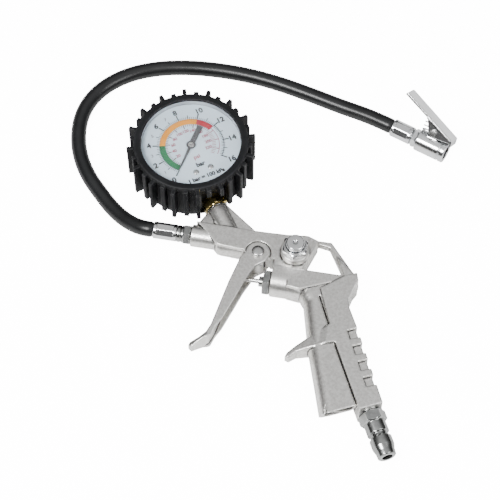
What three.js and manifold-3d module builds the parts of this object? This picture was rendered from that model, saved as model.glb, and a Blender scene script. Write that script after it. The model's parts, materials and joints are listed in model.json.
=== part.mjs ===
// Tyre inflator with a pressure gauge, lying on its side.
// Millimetres. +Z points out of the gauge face, +X runs along the barrel towards the hand,
// +Y runs from the grip towards the gauge. Points below are measured from the trigger pivot,
// on the mid-plane of the gun; the finished group is shifted so that its origin is the middle
// of the footprint, on the surface that the object lies on.
import * as THREE from 'three';
import { mergeVertices } from 'three/addons/utils/BufferGeometryUtils.js';
import Module from 'manifold-3d';

const wasm = await Module();
wasm.setup();

// ---------------------------------------------------------------- driving dimensions
const MID_HEIGHT = 11;                 // gun mid-plane above the surface it lies on
const GAP = 0.3;                       // clearance between pieces that touch
const ROUND = 24;                      // sides of a plain round piece
const GAUGE_ROUND = 40;                // sides of the gauge's large rounds

const PLATE_HALF = 6.75;               // barrel plate
const CHAMBER_HALF = 9;                // valve chamber and its round underside
const LUG_HALF = 5.3;                  // pivot lug between the trigger's ears
const GRIP_FRONT_HALF = 8.3;
const GRIP_REAR_HALF = 9.3;
const EYE_HALF = 2.5;                  // bars of the hanging eye

const HOSE_AXIS_Y = 8.6;               // hose outlet, parallel to the barrel
const NOSE_X = -41.5;
const NOSE_R = 6.6;

const GAUGE = { x: -51.7, y: 61.4, tilt: THREE.MathUtils.degToRad(34) };
const GAUGE_REACH = 39.8;              // gauge centre to the top of its boss
const BOOT_FRONT = 21;
const RIB_BACK = -6;                   // rear and front ends of the boot's ribs
const RIB_FRONT = 20;
const WINDOW_R = 30.2;
const CASE_R = 31.3;
const DIAL_Z = 15.2;                   // printed face of the dial
const LENS_BACK = 18.6;
const LENS_FRONT = 20.1;
const POINTER_Z = 15.7;
const DIAL_SCREW = { x: 4.7, y: -18.8 };
const SECTOR_Y = -12.8;                // sector pivot below the pointer arbor
const PINION_R = 1.6;
const SECTOR_R = 11.1;                 // rim radius, seven times the pinion's
const POST_X = 9;                      // distance posts between the movement's plates
const POST_Y = -3;

const VALVE_Y = -15.2;                 // push pin, gland nut and poppet axis
const CHAMBER_X = 10.3;                // front face of the valve chamber
const VALVE_BORE_R = 5.8;
const VALVE_END_X = 42;

const BLEED = { x: 21.5, y: 3.2 };     // deflation valve
const BLEED_TRAVEL = 2;

const RAKE = THREE.MathUtils.degToRad(27.5);
const GRIP_END = { x: 79, y: -87 };    // middle of the inlet face, at the bottom of the grip

const END_LEAN = THREE.MathUtils.degToRad(20);

const EAR_R = 7.2;
const FLANGE_IN = 5.6;                 // trigger: inner and outer faces of its two flanges
const FLANGE_OUT = 7.5;

const HOSE_R = 4.75;
const CHUCK = { x: 66.4, y: 109.3, z: -4, turn: THREE.MathUtils.degToRad(-20.5) };
const CHUCK_ROLL = THREE.MathUtils.degToRad(-40);
const CHUCK_R = 7;
const LEVER_PIN = { x: 26, z: 9.5 };

// ---------------------------------------------------------------- materials
function finish(colour, roughness, metalness) {
  return new THREE.MeshStandardMaterial({ color: colour, roughness, metalness });
}
const castAluminium = () => finish(0xc9c8c3, 0.45, 0.85);
const chromePlate = () => finish(0xe4e5e6, 0.12, 1);
const greySteel = () => finish(0x6e7170, 0.4, 0.9);
const springSteel = () => finish(0x9c9fa1, 0.3, 1);
const yellowBrass = () => finish(0xc8a24a, 0.3, 1);
const blackRubber = () => finish(0x17181a, 0.75, 0);
const redRubber = () => finish(0x6a2a22, 0.7, 0);
const blackPaint = () => finish(0x222426, 0.5, 0.2);
const dialEnamel = () => finish(0xe6edf0, 0.5, 0);
const clearPane = () => {
  const pane = finish(0xf4f8fa, 0.05, 0);
  pane.transparent = true;
  pane.opacity = 0.3;
  return pane;
};

// ---------------------------------------------------------------- solids
function signedVolume(position, index) {
  const [a, b, c] = [new THREE.Vector3(), new THREE.Vector3(), new THREE.Vector3()];
  let sum = 0;
  for (let i = 0; i < index.length; i += 3) {
    a.fromArray(position, 3 * index[i]);
    b.fromArray(position, 3 * index[i + 1]);
    c.fromArray(position, 3 * index[i + 2]);
    sum += a.dot(b.cross(c));
  }
  return sum;
}

function solidOf(geometry) {
  const bare = geometry.clone();
  bare.deleteAttribute('normal');
  bare.deleteAttribute('uv');
  const merged = mergeVertices(bare, 1e-4);
  const vertProperties = new Float32Array(merged.attributes.position.array);
  const triangles = [];
  const index = merged.index.array;
  for (let i = 0; i < index.length; i += 3) {
    const [a, b, c] = [index[i], index[i + 1], index[i + 2]];
    if (a !== b && b !== c && c !== a) triangles.push(a, b, c);
  }
  if (signedVolume(vertProperties, triangles) < 0) triangles.reverse();
  const triVerts = new Uint32Array(triangles);
  return new wasm.Manifold(new wasm.Mesh({ numProp: 3, vertProperties, triVerts }));
}

function geometryOf(solid) {
  const mesh = solid.getMesh();
  const geometry = new THREE.BufferGeometry();
  geometry.setAttribute('position', new THREE.BufferAttribute(mesh.vertProperties, 3));
  geometry.setIndex(new THREE.BufferAttribute(mesh.triVerts, 1));
  geometry.computeVertexNormals();
  return geometry;
}

// A round piece about +Z from [radius, height] pairs, the profile starting and ending on the axis
// or closing on itself.
function turned(profile, sides = ROUND) {
  const points = profile.map(([r, t]) => new THREE.Vector2(r, t));
  return new THREE.LatheGeometry(points, sides).rotateX(Math.PI / 2);
}

function rod(radius, from, to, sides = ROUND) {
  return turned([[0, from], [radius, from], [radius, to], [0, to]], sides);
}

function ring(outer, inner, from, to, sides = ROUND) {
  return turned([[inner, from], [outer, from], [outer, to], [inner, to], [inner, from]], sides);
}

function hexBar(acrossFlats, from, to) {
  const corner = acrossFlats / 2 / Math.cos(Math.PI / 6);
  const chamfer = (corner - acrossFlats / 2) * 0.6;
  const bar = solidOf(rod(corner, from, to, 6).rotateZ(Math.PI / 6));
  const crown = turned([
    [0, from], [corner - chamfer, from], [corner + 0.01, from + chamfer],
    [corner + 0.01, to - chamfer], [corner - chamfer, to], [0, to],
  ], 18);
  return bar.intersect(solidOf(crown));
}

function outline(points) {
  return new THREE.Shape(points.map(([x, y]) => new THREE.Vector2(x, y)));
}

function plate(points, from, to) {
  const options = { depth: to - from, bevelEnabled: false, curveSegments: 12 };
  return new THREE.ExtrudeGeometry(outline(points), options).translate(0, 0, from);
}

function softPlate(points, half, bevel) {
  const options = {
    depth: 2 * (half - bevel), bevelEnabled: true, bevelThickness: bevel, bevelSize: bevel,
    bevelOffset: -bevel, bevelSegments: 2,
  };
  return new THREE.ExtrudeGeometry(outline(points), options).translate(0, 0, bevel - half);
}

function block(x0, x1, y0, y1, z0, z1) {
  const box = new THREE.BoxGeometry(x1 - x0, y1 - y0, z1 - z0);
  return box.translate((x0 + x1) / 2, (y0 + y1) / 2, (z0 + z1) / 2);
}

function arcPoints(cx, cy, radius, fromDeg, toDeg, steps) {
  const points = [];
  for (let i = 0; i <= steps; i += 1) {
    const a = THREE.MathUtils.degToRad(fromDeg + (toDeg - fromDeg) * i / steps);
    points.push([cx + radius * Math.cos(a), cy + radius * Math.sin(a)]);
  }
  return points;
}

// Lays a piece made about +Z along a direction from a point.
function lay(geometry, origin, direction) {
  const turn = new THREE.Quaternion().setFromUnitVectors(
    new THREE.Vector3(0, 0, 1), new THREE.Vector3(...direction).normalize());
  return geometry.applyQuaternion(turn).translate(...origin);
}

const alongX = (geometry, y = VALVE_Y, z = 0) => lay(geometry, [0, y, z], [1, 0, 0]);
const gripDown = [Math.sin(RAKE), -Math.cos(RAKE), 0];
const gripEnd = [GRIP_END.x, GRIP_END.y, 0];
const bossDown = [Math.sin(GAUGE.tilt), -Math.cos(GAUGE.tilt), 0];
const bossTop = [
  GAUGE.x + GAUGE_REACH * bossDown[0], GAUGE.y + GAUGE_REACH * bossDown[1], 0,
];

function addAll(first, ...rest) {
  return rest.reduce((sum, shape) => sum.add(solidOf(shape)), solidOf(first));
}

function cutAll(body, ...tools) {
  return tools.reduce((left, shape) => left.subtract(solidOf(shape)), body);
}

// A wire spring about +Z with closed ends, from one height to another.
function coilSpring(radius, wire, from, to, turns) {
  const points = [];
  const steps = turns * 8;
  for (let i = 0; i <= steps; i += 1) {
    const angle = 2 * Math.PI * i / 8;
    const share = THREE.MathUtils.clamp((i - 4) / (steps - 8), 0, 1);
    const height = from + wire + (to - from - 2 * wire) * share;
    points.push(new THREE.Vector3(radius * Math.cos(angle), radius * Math.sin(angle), height));
  }
  const path = new THREE.CatmullRomCurve3(points);
  const section = outline(arcPoints(0, 0, wire, 0, 300, 5));
  return new THREE.ExtrudeGeometry(section, { steps, extrudePath: path, bevelEnabled: false });
}

// ---------------------------------------------------------------- the scene graph
const gun = new THREE.Group();

function addPiece(parent, name, shape, material) {
  const solid = shape.isBufferGeometry ? solidOf(shape) : shape;
  const mesh = new THREE.Mesh(geometryOf(solid), material);
  mesh.name = name;
  parent.add(mesh);
  return mesh;
}

// ---------------------------------------------------------------- body casting
const barrelOutline = [
  [-39.7, 15.1], [-34, 10.5], [-25.1, 1.9], [-22.9, 1.4], [-8.2, 0.6],
  ...arcPoints(0, 0, 7.6, 190, 302, 8),
  [4, -2.4], [CHAMBER_X, -2.4], [CHAMBER_X, -12], [27.4, -12], [27.4, -7.5], [34.1, 14.1],
  [27.2, 16.6], [14.7, 15.2], [-4.1, 14.6],
];
const eyeOuter = [
  [26, 8], [27.2, 16.6], [41.6, 16.8], [59.6, -4.2], [61, -9.6], [52, -12], [26, -12],
];
const eyeWindow = [[34.1, 14.1], [41, 13], [53, -7.2], [27.4, -7.5]];
const chamberFlat = [[26, -7.5], [54, -7.5], [55, -10], [30, -21], [26, -20]];
const gripFront = [
  [25.5, -17], [27.4, -21.8], [31.6, -26.7], [38.6, -55.7], [45.6, -77.3], [51.9, -97.3],
  [69.5, -88.8], [76, -86], [58, -30], [54, -10],
];
const gripRear = [
  [39.8, -18], [48.6, -40.3], [52.9, -51.1], [72.9, -90.4], [85.3, -84],
  [64.1, -39], [58.3, -27.8], [56.9, -22.8], [58.8, -13.9], [61, -9.6], [59.4, -4.4], [53, -7.3],
];
const fingerHorn = [
  [26.1, -62.5], [27, -59.8], [31.1, -55.3], [36.9, -50.1], [44.1, -44], [49, -39.5],
  [56, -44], [54, -51], [45.5, -54.2], [37.8, -57], [32.3, -59.4], [28.5, -63.2],
];
const hornTaper = [
  [25, -3.2], [25, 3.2], [31, 5], [48, 9], [58, 9], [58, -9], [48, -9], [31, -5],
];
const gripCore = [
  [37, -32], [43.2, -56], [48.6, -73], [54.8, -93.4], [56, -102], [74, -98], [71.8, -91],
  [49.6, -46.5], [44.6, -34],
];

function chamberSection() {
  const round = arcPoints(0, 14, CHAMBER_HALF, 0, 180, 14);
  const section = [[CHAMBER_HALF, 7.5], ...round, [-CHAMBER_HALF, 7.5]];
  // the section is drawn with +Y pointing down the gun, then stood up along the barrel
  const bar = plate(section, CHAMBER_X, 31);
  const stand = new THREE.Matrix4().makeBasis(
    new THREE.Vector3(0, 0, -1), new THREE.Vector3(0, -1, 0), new THREE.Vector3(1, 0, 0));
  stand.multiply(new THREE.Matrix4().makeScale(-1, 1, 1));
  return bar.applyMatrix4(stand);
}

function hornSolid() {
  const width = solidOf(plate(hornTaper, -70, -30).rotateX(Math.PI / 2).translate(0, -100, 0));
  return solidOf(plate(fingerHorn, -9, 9)).intersect(width);
}

// The end of the grip's front part leans back towards its underside.
function gripFrontPart() {
  const cut = block(-20, 50, -30, 0, -40, 40).rotateX(END_LEAN);
  cut.rotateZ(Math.atan2(8.5, 17.6)).translate(51.9, -97.3, GRIP_FRONT_HALF);
  return cutAll(solidOf(softPlate(gripFront, GRIP_FRONT_HALF, 1.6)), cut);
}

// Takes the sharp edge off the front of the grip, on both sides.
function gripChamfers() {
  const front = new THREE.Vector3(51.9 - 31.6, -97.3 + 26.7, 0);
  const turn = Math.atan2(front.y, front.x);
  return [1, -1].map((side) => {
    const corner = plate([[0, 0], [0, 5], [5, 0]], -12, front.length() + 12);
    corner.rotateX(Math.PI / 2).scale(1, -1, 1);
    const basis = new THREE.Matrix4().makeBasis(
      new THREE.Vector3(-Math.sin(turn), Math.cos(turn), 0),
      new THREE.Vector3(Math.cos(turn), Math.sin(turn), 0),
      new THREE.Vector3(0, 0, -side));
    return corner.applyMatrix4(basis).translate(31, -27, side * GRIP_FRONT_HALF);
  });
}

function gripNotches() {
  const cuts = [];
  const lineTop = [64.1, -39];
  const line = new THREE.Vector2(85.3 - 64.1, -84 + 39).normalize();
  const angle = Math.atan2(line.y, line.x);
  for (let i = 0; i < 4; i += 1) {
    const along = 1.3 + 10.3 * i;
    for (const side of [-1, 1]) {
      const near = GRIP_REAR_HALF - 2;
      const cut = block(0, 6, -6.2, 2, side > 0 ? near : -near - 3, side > 0 ? near + 3 : -near);
      cut.rotateZ(angle);
      cuts.push(cut.translate(lineTop[0] + along * line.x, lineTop[1] + along * line.y, 0));
    }
    const edge = block(0, 6, -0.9, 2, -GRIP_REAR_HALF - 1, GRIP_REAR_HALF + 1);
    edge.rotateZ(angle);
    cuts.push(edge.translate(lineTop[0] + along * line.x, lineTop[1] + along * line.y, 0));
  }
  return cuts;
}

function bodyCasting() {
  const shell = addAll(
    plate(barrelOutline, -PLATE_HALF, PLATE_HALF),
    lay(rod(NOSE_R, NOSE_X, -16), [0, HOSE_AXIS_Y, 0], [1, 0, 0]),
    lay(rod(6.5, 0, 27), bossTop, bossDown),
    plate([[-23.8, 30.4], [-4.6, 16.2], [-18, 8], [-30, 18]], -4.5, 4.5),
    plate([[-34.6, 24.5], [-39.5, 14.3], [-30, 10], [-26, 18]], -3.2, 3.2),
    lay(rod(8.4, 6, 12), [BLEED.x, BLEED.y, 0], [0, 0, 1]),
    chamberSection(),
    plate(eyeOuter, -EYE_HALF, EYE_HALF),
    plate([[48, 5], [59.6, -4.2], [61, -9.6], [53, -9.6], [50, -2]], -5, 5),
    plate(chamberFlat, -CHAMBER_HALF, CHAMBER_HALF),
    softPlate(gripRear, GRIP_REAR_HALF, 1.6),
    lay(rod(6.7, -26, -7), [0, 6.2, 0], [1, 0, 0]),
  ).add(gripFrontPart());
  const earCuts = [1, -1].flatMap((side) => [
    rod(7.8, 0, 6).translate(0, 0, side > 0 ? LUG_HALF : -LUG_HALF - 6),
    block(-11, 4, -12, -0.35, side > 0 ? LUG_HALF : -LUG_HALF - 6, side > 0 ? LUG_HALF + 6 : -LUG_HALF),
  ]);
  const blunted = cutAll(shell, ...gripChamfers()).add(hornSolid());
  return cutAll(
    blunted,
    ...earCuts,
    plate(eyeWindow, -12, 12),
    rod(2.2, -12, 12, 20),
    lay(rod(4.5, NOSE_X - 1, -31.5), [0, HOSE_AXIS_Y, 0], [1, 0, 0]),
    lay(rod(2, -33, 22, 16), [0, HOSE_AXIS_Y, 0], [1, 0, 0]),
    lay(rod(4.9, -1, 10), bossTop, bossDown),
    lay(rod(1.8, 9, 25, 16), bossTop, bossDown),
    rod(5.1, 3, 13).translate(BLEED.x, BLEED.y, 0),
    rod(4, -1.2, 3.5, 20).translate(BLEED.x, BLEED.y, 0),
    lay(rod(1.7, VALVE_Y, HOSE_AXIS_Y, 16), [20.6, 0, 0], [0, 1, 0]),
    alongX(rod(VALVE_BORE_R, CHAMBER_X - 1, VALVE_END_X)),
    lay(rod(3.5, -81, 1, 20), gripEnd, gripDown),
    lay(rod(6.1, -12, 1), gripEnd, gripDown),
    plate(gripCore, -6.1, 6.1),
    ...gripNotches(),
  );
}

addPiece(gun, 'body_casting', bodyCasting(), castAluminium());

// ---------------------------------------------------------------- trigger and its pivot
const triggerOutline = [
  ...arcPoints(0, 0, EAR_R, 0, 184, 14),
  [-9.6, -4.1], [-13.6, -21.8], [-15.6, -33.6], [-18.6, -51.3], [-20.5, -56.2], [-23.7, -59.2],
  [-28.9, -62.8], [-29.4, -64.8], [-27.4, -65.8], [-21.8, -60.8], [-17.8, -58.6], [-16.2, -53.1],
  [-13.2, -46.8], [-8.5, -32.4], [-5.2, -21.6], [0, -9.1], [5.2, -5],
];
const triggerChannel = [
  [-14, 12], [-14, 0], [-9.2, -3.7], [-7.7, -4.4], [-11.7, -22.2], [-13.7, -33.9], [-16.8, -51.8],
  [-18.8, -57.4], [-21.9, -61.2], [-10, -70], [10, -30], [12, 12],
];

function trigger() {
  const tip = [
    [-30, -2.4], [-30, 2.4], [-19.5, FLANGE_OUT], [10, FLANGE_OUT], [10, -FLANGE_OUT],
    [-19.5, -FLANGE_OUT],
  ];
  const width = solidOf(plate(tip, -70, 70).rotateX(Math.PI / 2));
  const lever = solidOf(plate(triggerOutline, -FLANGE_OUT, FLANGE_OUT)).intersect(width);
  return cutAll(lever, plate(triggerChannel, -FLANGE_IN, FLANGE_IN), rod(2.2, -12, 12, 20));
}

addPiece(gun, 'trigger', trigger(), castAluminium());
addPiece(gun, 'trigger_pin', turned([
  [0, -9.9], [1.9, -9.9], [1.9, 7.8], [3.8, 7.8], [3.8, 9], [3.1, 9.7], [0, 9.9],
], 24), chromePlate());
addPiece(gun, 'pin_clip', ring(4, 2.15, -8.9, -7.9, 24), springSteel());

// ---------------------------------------------------------------- inflation valve
function glandNut() {
  const nut = hexBar(14, 5.7, CHAMBER_X - GAP)
    .add(solidOf(rod(3.1, 3.2, 6, 24)))
    .add(solidOf(rod(5.5, 9.5, 18.6)));
  return nut.subtract(solidOf(rod(1.65, 3, 19, 16)));
}

function standAlongX(solid, y = VALVE_Y) {
  const turn = new THREE.Matrix4().makeRotationY(Math.PI / 2);
  turn.premultiply(new THREE.Matrix4().makeTranslation(0, y, 0));
  return solid.transform(turn.elements);
}

addPiece(gun, 'gland_nut', standAlongX(glandNut()), greySteel());
addPiece(gun, 'gland_seal', alongX(ring(3.4, 1.65, 18.9, 20.2, 20)), blackRubber());
addPiece(gun, 'push_pin', alongX(turned([
  [0, -9.75], [0.8, -9.6], [1.35, -9], [1.35, 27.1], [4.2, 27.1], [4.2, 28.6], [0, 28.6],
], 20)), springSteel());
addPiece(gun, 'poppet_seal', alongX(ring(3.9, 1.65, 25.3, 26.8, 24)), blackRubber());
addPiece(gun, 'valve_seat', alongX(ring(5.5, 2.3, 22.7, 25, 24)), yellowBrass());
addPiece(gun, 'valve_spring', alongX(coilSpring(3.3, 0.5, 28.9, VALVE_END_X - GAP, 6)), springSteel());

// ---------------------------------------------------------------- deflation valve
function bleedNut() {
  const nut = hexBar(14, 12.3, 16)
    .add(solidOf(rod(6.4, 15.5, 17)))
    .add(solidOf(rod(4.8, 3.3, 13)));
  return nut
    .subtract(solidOf(rod(5.8, 13.6, 18)))
    .subtract(solidOf(rod(3.4, 5, 14)))
    .subtract(solidOf(rod(1.9, 3, 6, 16)));
}

const bleed = new THREE.Group();
bleed.position.set(BLEED.x, BLEED.y, 0);
gun.add(bleed);
addPiece(bleed, 'bleed_nut', bleedNut(), chromePlate());
addPiece(bleed, 'bleed_button', turned([
  [0, 2], [1.4, 2], [1.4, 16.2], [5.5, 16.2], [5.5, 19.5], [5, 20], [1.3, 20], [0, 19.3],
], 28), chromePlate());
addPiece(bleed, 'bleed_seal', ring(3, 1.7, 1.4, 3, 20), blackRubber());
addPiece(bleed, 'bleed_spring', coilSpring(2.5, 0.4, 5.3, 15.9, 5), springSteel());

// ---------------------------------------------------------------- inlet
function inletPlug() {
  const plug = hexBar(14, 1.2, 7.4).add(solidOf(turned([
    [0, -9.5], [5.8, -9.5], [5.8, 6], [6.4, 7], [6.4, 14], [5.3, 14.4], [5.3, 16.2], [6.5, 17.2],
    [6.5, 22], [5.6, 25], [5.4, 28.2], [4.8, 28.6], [0, 28.6],
  ])));
  return plug.subtract(solidOf(rod(3.1, -11, 30, 20)));
}

const inlet = new THREE.Group();
inlet.position.set(...gripEnd);
inlet.quaternion.setFromUnitVectors(new THREE.Vector3(0, 0, 1), new THREE.Vector3(...gripDown));
gun.add(inlet);
addPiece(inlet, 'inlet_plug', inletPlug(), greySteel());
addPiece(inlet, 'inlet_washer', ring(7, 6, 0.3, 0.9), greySteel());

// ---------------------------------------------------------------- gauge, dial up along local +Y
const gauge = new THREE.Group();
gauge.position.set(GAUGE.x, GAUGE.y, 0);
gauge.rotation.z = GAUGE.tilt;
gun.add(gauge);

function ribbedOutline() {
  const points = [];
  for (let i = 0; i < 32; i += 1) {
    const tall = i % 2 === 0;
    const tip = tall ? 39.1 : 36.9;
    const half = THREE.MathUtils.degToRad(tall ? 2 : 2.8);
    const middle = 2 * Math.PI * (i + 0.5) / 32;
    for (const [radius, offset] of [[33, -half * 1.3], [tip, -half], [tip, half], [33, half * 1.3]]) {
      points.push([radius * Math.cos(middle + offset), radius * Math.sin(middle + offset)]);
    }
  }
  return points;
}

function gaugeBoot() {
  const wall = turned([
    [0, -MID_HEIGHT], [32.5, -MID_HEIGHT], [33.9, RIB_BACK], [33.5, 16.5], [35.4, 17.2],
    [35.4, 19.8], [34.4, BOOT_FRONT], [0, BOOT_FRONT],
  ], GAUGE_ROUND);
  const cavity = turned([
    [0, -9.6], [CASE_R + GAP, -9.6], [CASE_R + GAP, LENS_FRONT + GAP],
    [WINDOW_R, LENS_FRONT + GAP],
    [WINDOW_R + 0.5, BOOT_FRONT + 1], [0, BOOT_FRONT + 1],
  ], GAUGE_ROUND);
  return cutAll(
    addAll(wall, plate(ribbedOutline(), RIB_BACK, RIB_FRONT)),
    cavity,
    lay(rod(8.9, 28, 44, 24), [0, 0, 0], [0, -1, 0]),
  );
}

function gaugeCase() {
  const cup = solidOf(turned([
    [0, -9.3], [CASE_R - 1, -9.3], [CASE_R, -8.3], [CASE_R, LENS_BACK - GAP],
    [CASE_R - 1, LENS_BACK - GAP],
    [CASE_R - 1, -8.3], [0, -8.3],
  ], 48));
  return cutAll(cup, lay(rod(6, 26, 34, 24), [0, 0, 0], [0, -1, 0]));
}

function dialPlate() {
  const holes = [-1, 1].map(
    (side) => rod(1.1, DIAL_Z - 2, DIAL_Z + 1, 12).translate(DIAL_SCREW.x * side, DIAL_SCREW.y, 0));
  return cutAll(
    solidOf(rod(29.8, DIAL_Z - 0.6, DIAL_Z, GAUGE_ROUND)),
    rod(1.6, DIAL_Z - 2, DIAL_Z + 1, 16), ...holes);
}

function connector() {
  const stem = hexBar(13.6, 31.4, GAUGE_REACH - 1.2)
    .add(solidOf(rod(5.5, 26, 32, 24)))
    .add(solidOf(rod(4.6, 36, GAUGE_REACH + 8.5, 24)));
  const socket = block(-5, 5, -4, 4, 18.6, 27);
  return stem.add(solidOf(socket)).subtract(solidOf(rod(1.8, 24, 50, 16)))
    .transform(new THREE.Matrix4().makeRotationX(Math.PI / 2).elements);
}

function bourdonTube() {
  const bend = new THREE.CatmullRomCurve3(arcPoints(0, 0, 21.6, -74, 196, 24).map(
    ([x, y]) => new THREE.Vector3(x, y, 0)));
  const section = outline([[-4.2, 0], [-3.4, -1.1], [3.4, -1.1], [4.2, 0], [3.4, 1.1], [-3.4, 1.1]]);
  return new THREE.ExtrudeGeometry(section, { steps: 36, extrudePath: bend, bevelEnabled: false });
}

function movementPlate(from, to) {
  const sheet = plate(
    [[-9, -20], [9, -20], [12, -8], [11, 1], [6, 6], [-6, 6], [-11, 1], [-12, -8]], from, to);
  const posts = [-1, 1].map(
    (side) => rod(1, from - 1, to + 1, 12).translate(POST_X * side, POST_Y, 0));
  return cutAll(
    solidOf(sheet), rod(1, from - 1, to + 1, 12),
    rod(1.1, from - 1, to + 1, 12).translate(0, SECTOR_Y, 0), ...posts);
}

addPiece(gauge, 'gauge_boot', gaugeBoot(), blackRubber());
addPiece(gauge, 'gauge_case', gaugeCase(), blackPaint());
addPiece(gauge, 'gauge_lens', turned([
  [0, LENS_BACK], [CASE_R, LENS_BACK], [CASE_R, LENS_FRONT - 0.3], [30.6, LENS_FRONT], [0, LENS_FRONT],
], GAUGE_ROUND), clearPane());
addPiece(gauge, 'dial_plate', dialPlate(), dialEnamel());
for (const [name, side] of [['dial_screw_left', -1], ['dial_screw_right', 1]]) {
  const screw = addPiece(gauge, name, turned([
    [0, 12.6], [0.8, 12.6], [0.8, 15.5], [1.8, 15.5], [1.8, 16], [1.2, 16.3], [0, 16.3],
  ], 16), springSteel());
  screw.position.set(DIAL_SCREW.x * side, DIAL_SCREW.y, 0);
}
addPiece(gauge, 'gauge_connector', connector(), yellowBrass());
const gaugeWasher = addPiece(gauge, 'gauge_washer', ring(6.6, 4.9, 0, 0.6), greySteel());
gaugeWasher.rotation.x = Math.PI / 2;
gaugeWasher.position.y = 0.3 - GAUGE_REACH + 0.6;
addPiece(gauge, 'bourdon_tube', bourdonTube(), yellowBrass());
addPiece(gauge, 'movement_back_plate', movementPlate(-6.4, -5.4), yellowBrass());
addPiece(gauge, 'movement_front_plate', movementPlate(9.6, 10.6), yellowBrass());
for (const [name, side] of [['movement_post_left', -1], ['movement_post_right', 1]]) {
  const post = addPiece(gauge, name, turned([
    [0, -6.2], [0.7, -6.2], [0.7, -5.1], [1.5, -5.1], [1.5, 9.3], [0.7, 9.3], [0.7, 10.4], [0, 10.4],
  ], 12), yellowBrass());
  post.position.set(POST_X * side, POST_Y, 0);
}

function pointer() {
  const blade = addAll(
    plate([[-1, 0], [-0.25, 19.5], [0.25, 19.5], [1, 0]], POINTER_Z, POINTER_Z + 0.5),
    plate([[-1.6, 0], [1.6, 0], [1.6, -14.6], [-1.6, -14.6]], POINTER_Z, POINTER_Z + 0.5),
    rod(2.8, POINTER_Z, POINTER_Z + 0.5, 24));
  const scaleStart = THREE.MathUtils.degToRad(135);
  return cutAll(blade, rod(1, POINTER_Z - 1, POINTER_Z + 1, 12))
    .transform(new THREE.Matrix4().makeRotationZ(scaleStart).elements);
}

function pinionArbor() {
  return turned([
    [0, -7.2], [0.7, -7.2], [0.7, 5.2], [PINION_R, 5.2], [PINION_R, 7.8], [0.7, 7.8],
    [0.7, POINTER_Z + 0.6], [0, POINTER_Z + 0.6],
  ], 16);
}

function sectorGear() {
  const rim = plate([
    ...arcPoints(0, 0, SECTOR_R, 42, 98, 10), ...arcPoints(0, 0, SECTOR_R - 2, 98, 42, 8),
  ], 6, 7);
  const arm = plate([[-1.4, -1], [-1.4, SECTOR_R - 1], [7.6, 6.4], [2, -1]], 6, 7);
  const tail = plate([[0, -1.4], [0, 1.4], [-7.6, 1], [-7.6, -1]], 6, 7);
  return addAll(rim, arm, tail, rod(2.2, 6, 7, 16), rod(0.75, -7.2, 11.2, 12));
}

addPiece(gauge, 'pointer', pointer(), blackPaint());
addPiece(gauge, 'pinion_arbor', pinionArbor(), springSteel());
const sector = addPiece(gauge, 'sector_gear', sectorGear(), yellowBrass());
sector.position.y = SECTOR_Y;
const link = addPiece(gauge, 'movement_link', plate(
  [[-6.2, -0.9], [-6.2, 0.9], [-14.6, 4.6], [-15.2, 3]], 7.3, 7.9), yellowBrass());
link.position.y = SECTOR_Y;

// ---------------------------------------------------------------- hose end at the gun
function hoseNipple() {
  const nipple = hexBar(11, -NOSE_X + GAP, 46.6).add(solidOf(turned([
    [0, 33], [4.2, 33], [4.2, 44], [5.1, 46], [5.1, 47.4], [4.6, 47.8], [5.1, 48.2], [5.1, 50],
    [2.6, 50], [2.6, 64.2], [0, 64.2],
  ])));
  return nipple.subtract(solidOf(rod(1.5, 30, 70, 16)));
}

const outlet = new THREE.Group();
outlet.position.y = HOSE_AXIS_Y;
outlet.rotation.y = -Math.PI / 2;
gun.add(outlet);
addPiece(outlet, 'hose_nipple', hoseNipple(), greySteel());
addPiece(outlet, 'hose_ferrule', ring(5.1, 2.9, 50.3, 64.6, 24), chromePlate());

// ---------------------------------------------------------------- hose, lying in a loop
const hoseRoute = [
  [-65, 8.6, 0], [-67.5, 8.6, 0], [-71.8, 9.2, -0.7], [-77.5, 11.4, -2.4], [-85.8, 16.4, -4.6],
  [-94.6, 23.6, -6],
  [-103.3, 32.3, -6.25], [-111.5, 41.3, -6.25], [-118.2, 51.2, -6.25], [-123.2, 62.3, -6.25],
  [-126, 74, -6.25], [-126.6, 84.5, -6.25], [-124.7, 95.6, -6.25], [-119.7, 106.1, -6.25],
  [-111.8, 115.4, -6.25], [-100.4, 123.6, -6.25], [-85.4, 129.8, -6.25], [-67.2, 133.6, -6.25],
  [-47.9, 134.9, -6.25], [-28.4, 134.1, -6.25], [-8.6, 131.1, -6.25], [11.5, 126.3, -6.2],
  [31.3, 120.7, -5.8], [48.5, 115.7, -4.6], [61.1, 111.3, -4],
  [66.03, 109.44, -4],
];
const hosePath = new THREE.CatmullRomCurve3(
  hoseRoute.map((p) => new THREE.Vector3(...p)), false, 'centripetal');
const hoseSection = outline(arcPoints(0, 0, HOSE_R, 0, 324, 9));
addPiece(gun, 'hose', new THREE.ExtrudeGeometry(hoseSection, {
  steps: 44, extrudePath: hosePath, bevelEnabled: false,
}), blackRubber());

// ---------------------------------------------------------------- clip-on chuck, axis along local +X
const chuck = new THREE.Group();
chuck.position.set(CHUCK.x, CHUCK.y, CHUCK.z);
chuck.rotation.set(0, 0, CHUCK.turn);
chuck.rotateX(CHUCK_ROLL);
gun.add(chuck);

const chuckRound = (profile, sides) => lay(turned(profile, sides), [0, 0, 0], [1, 0, 0]);

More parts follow.
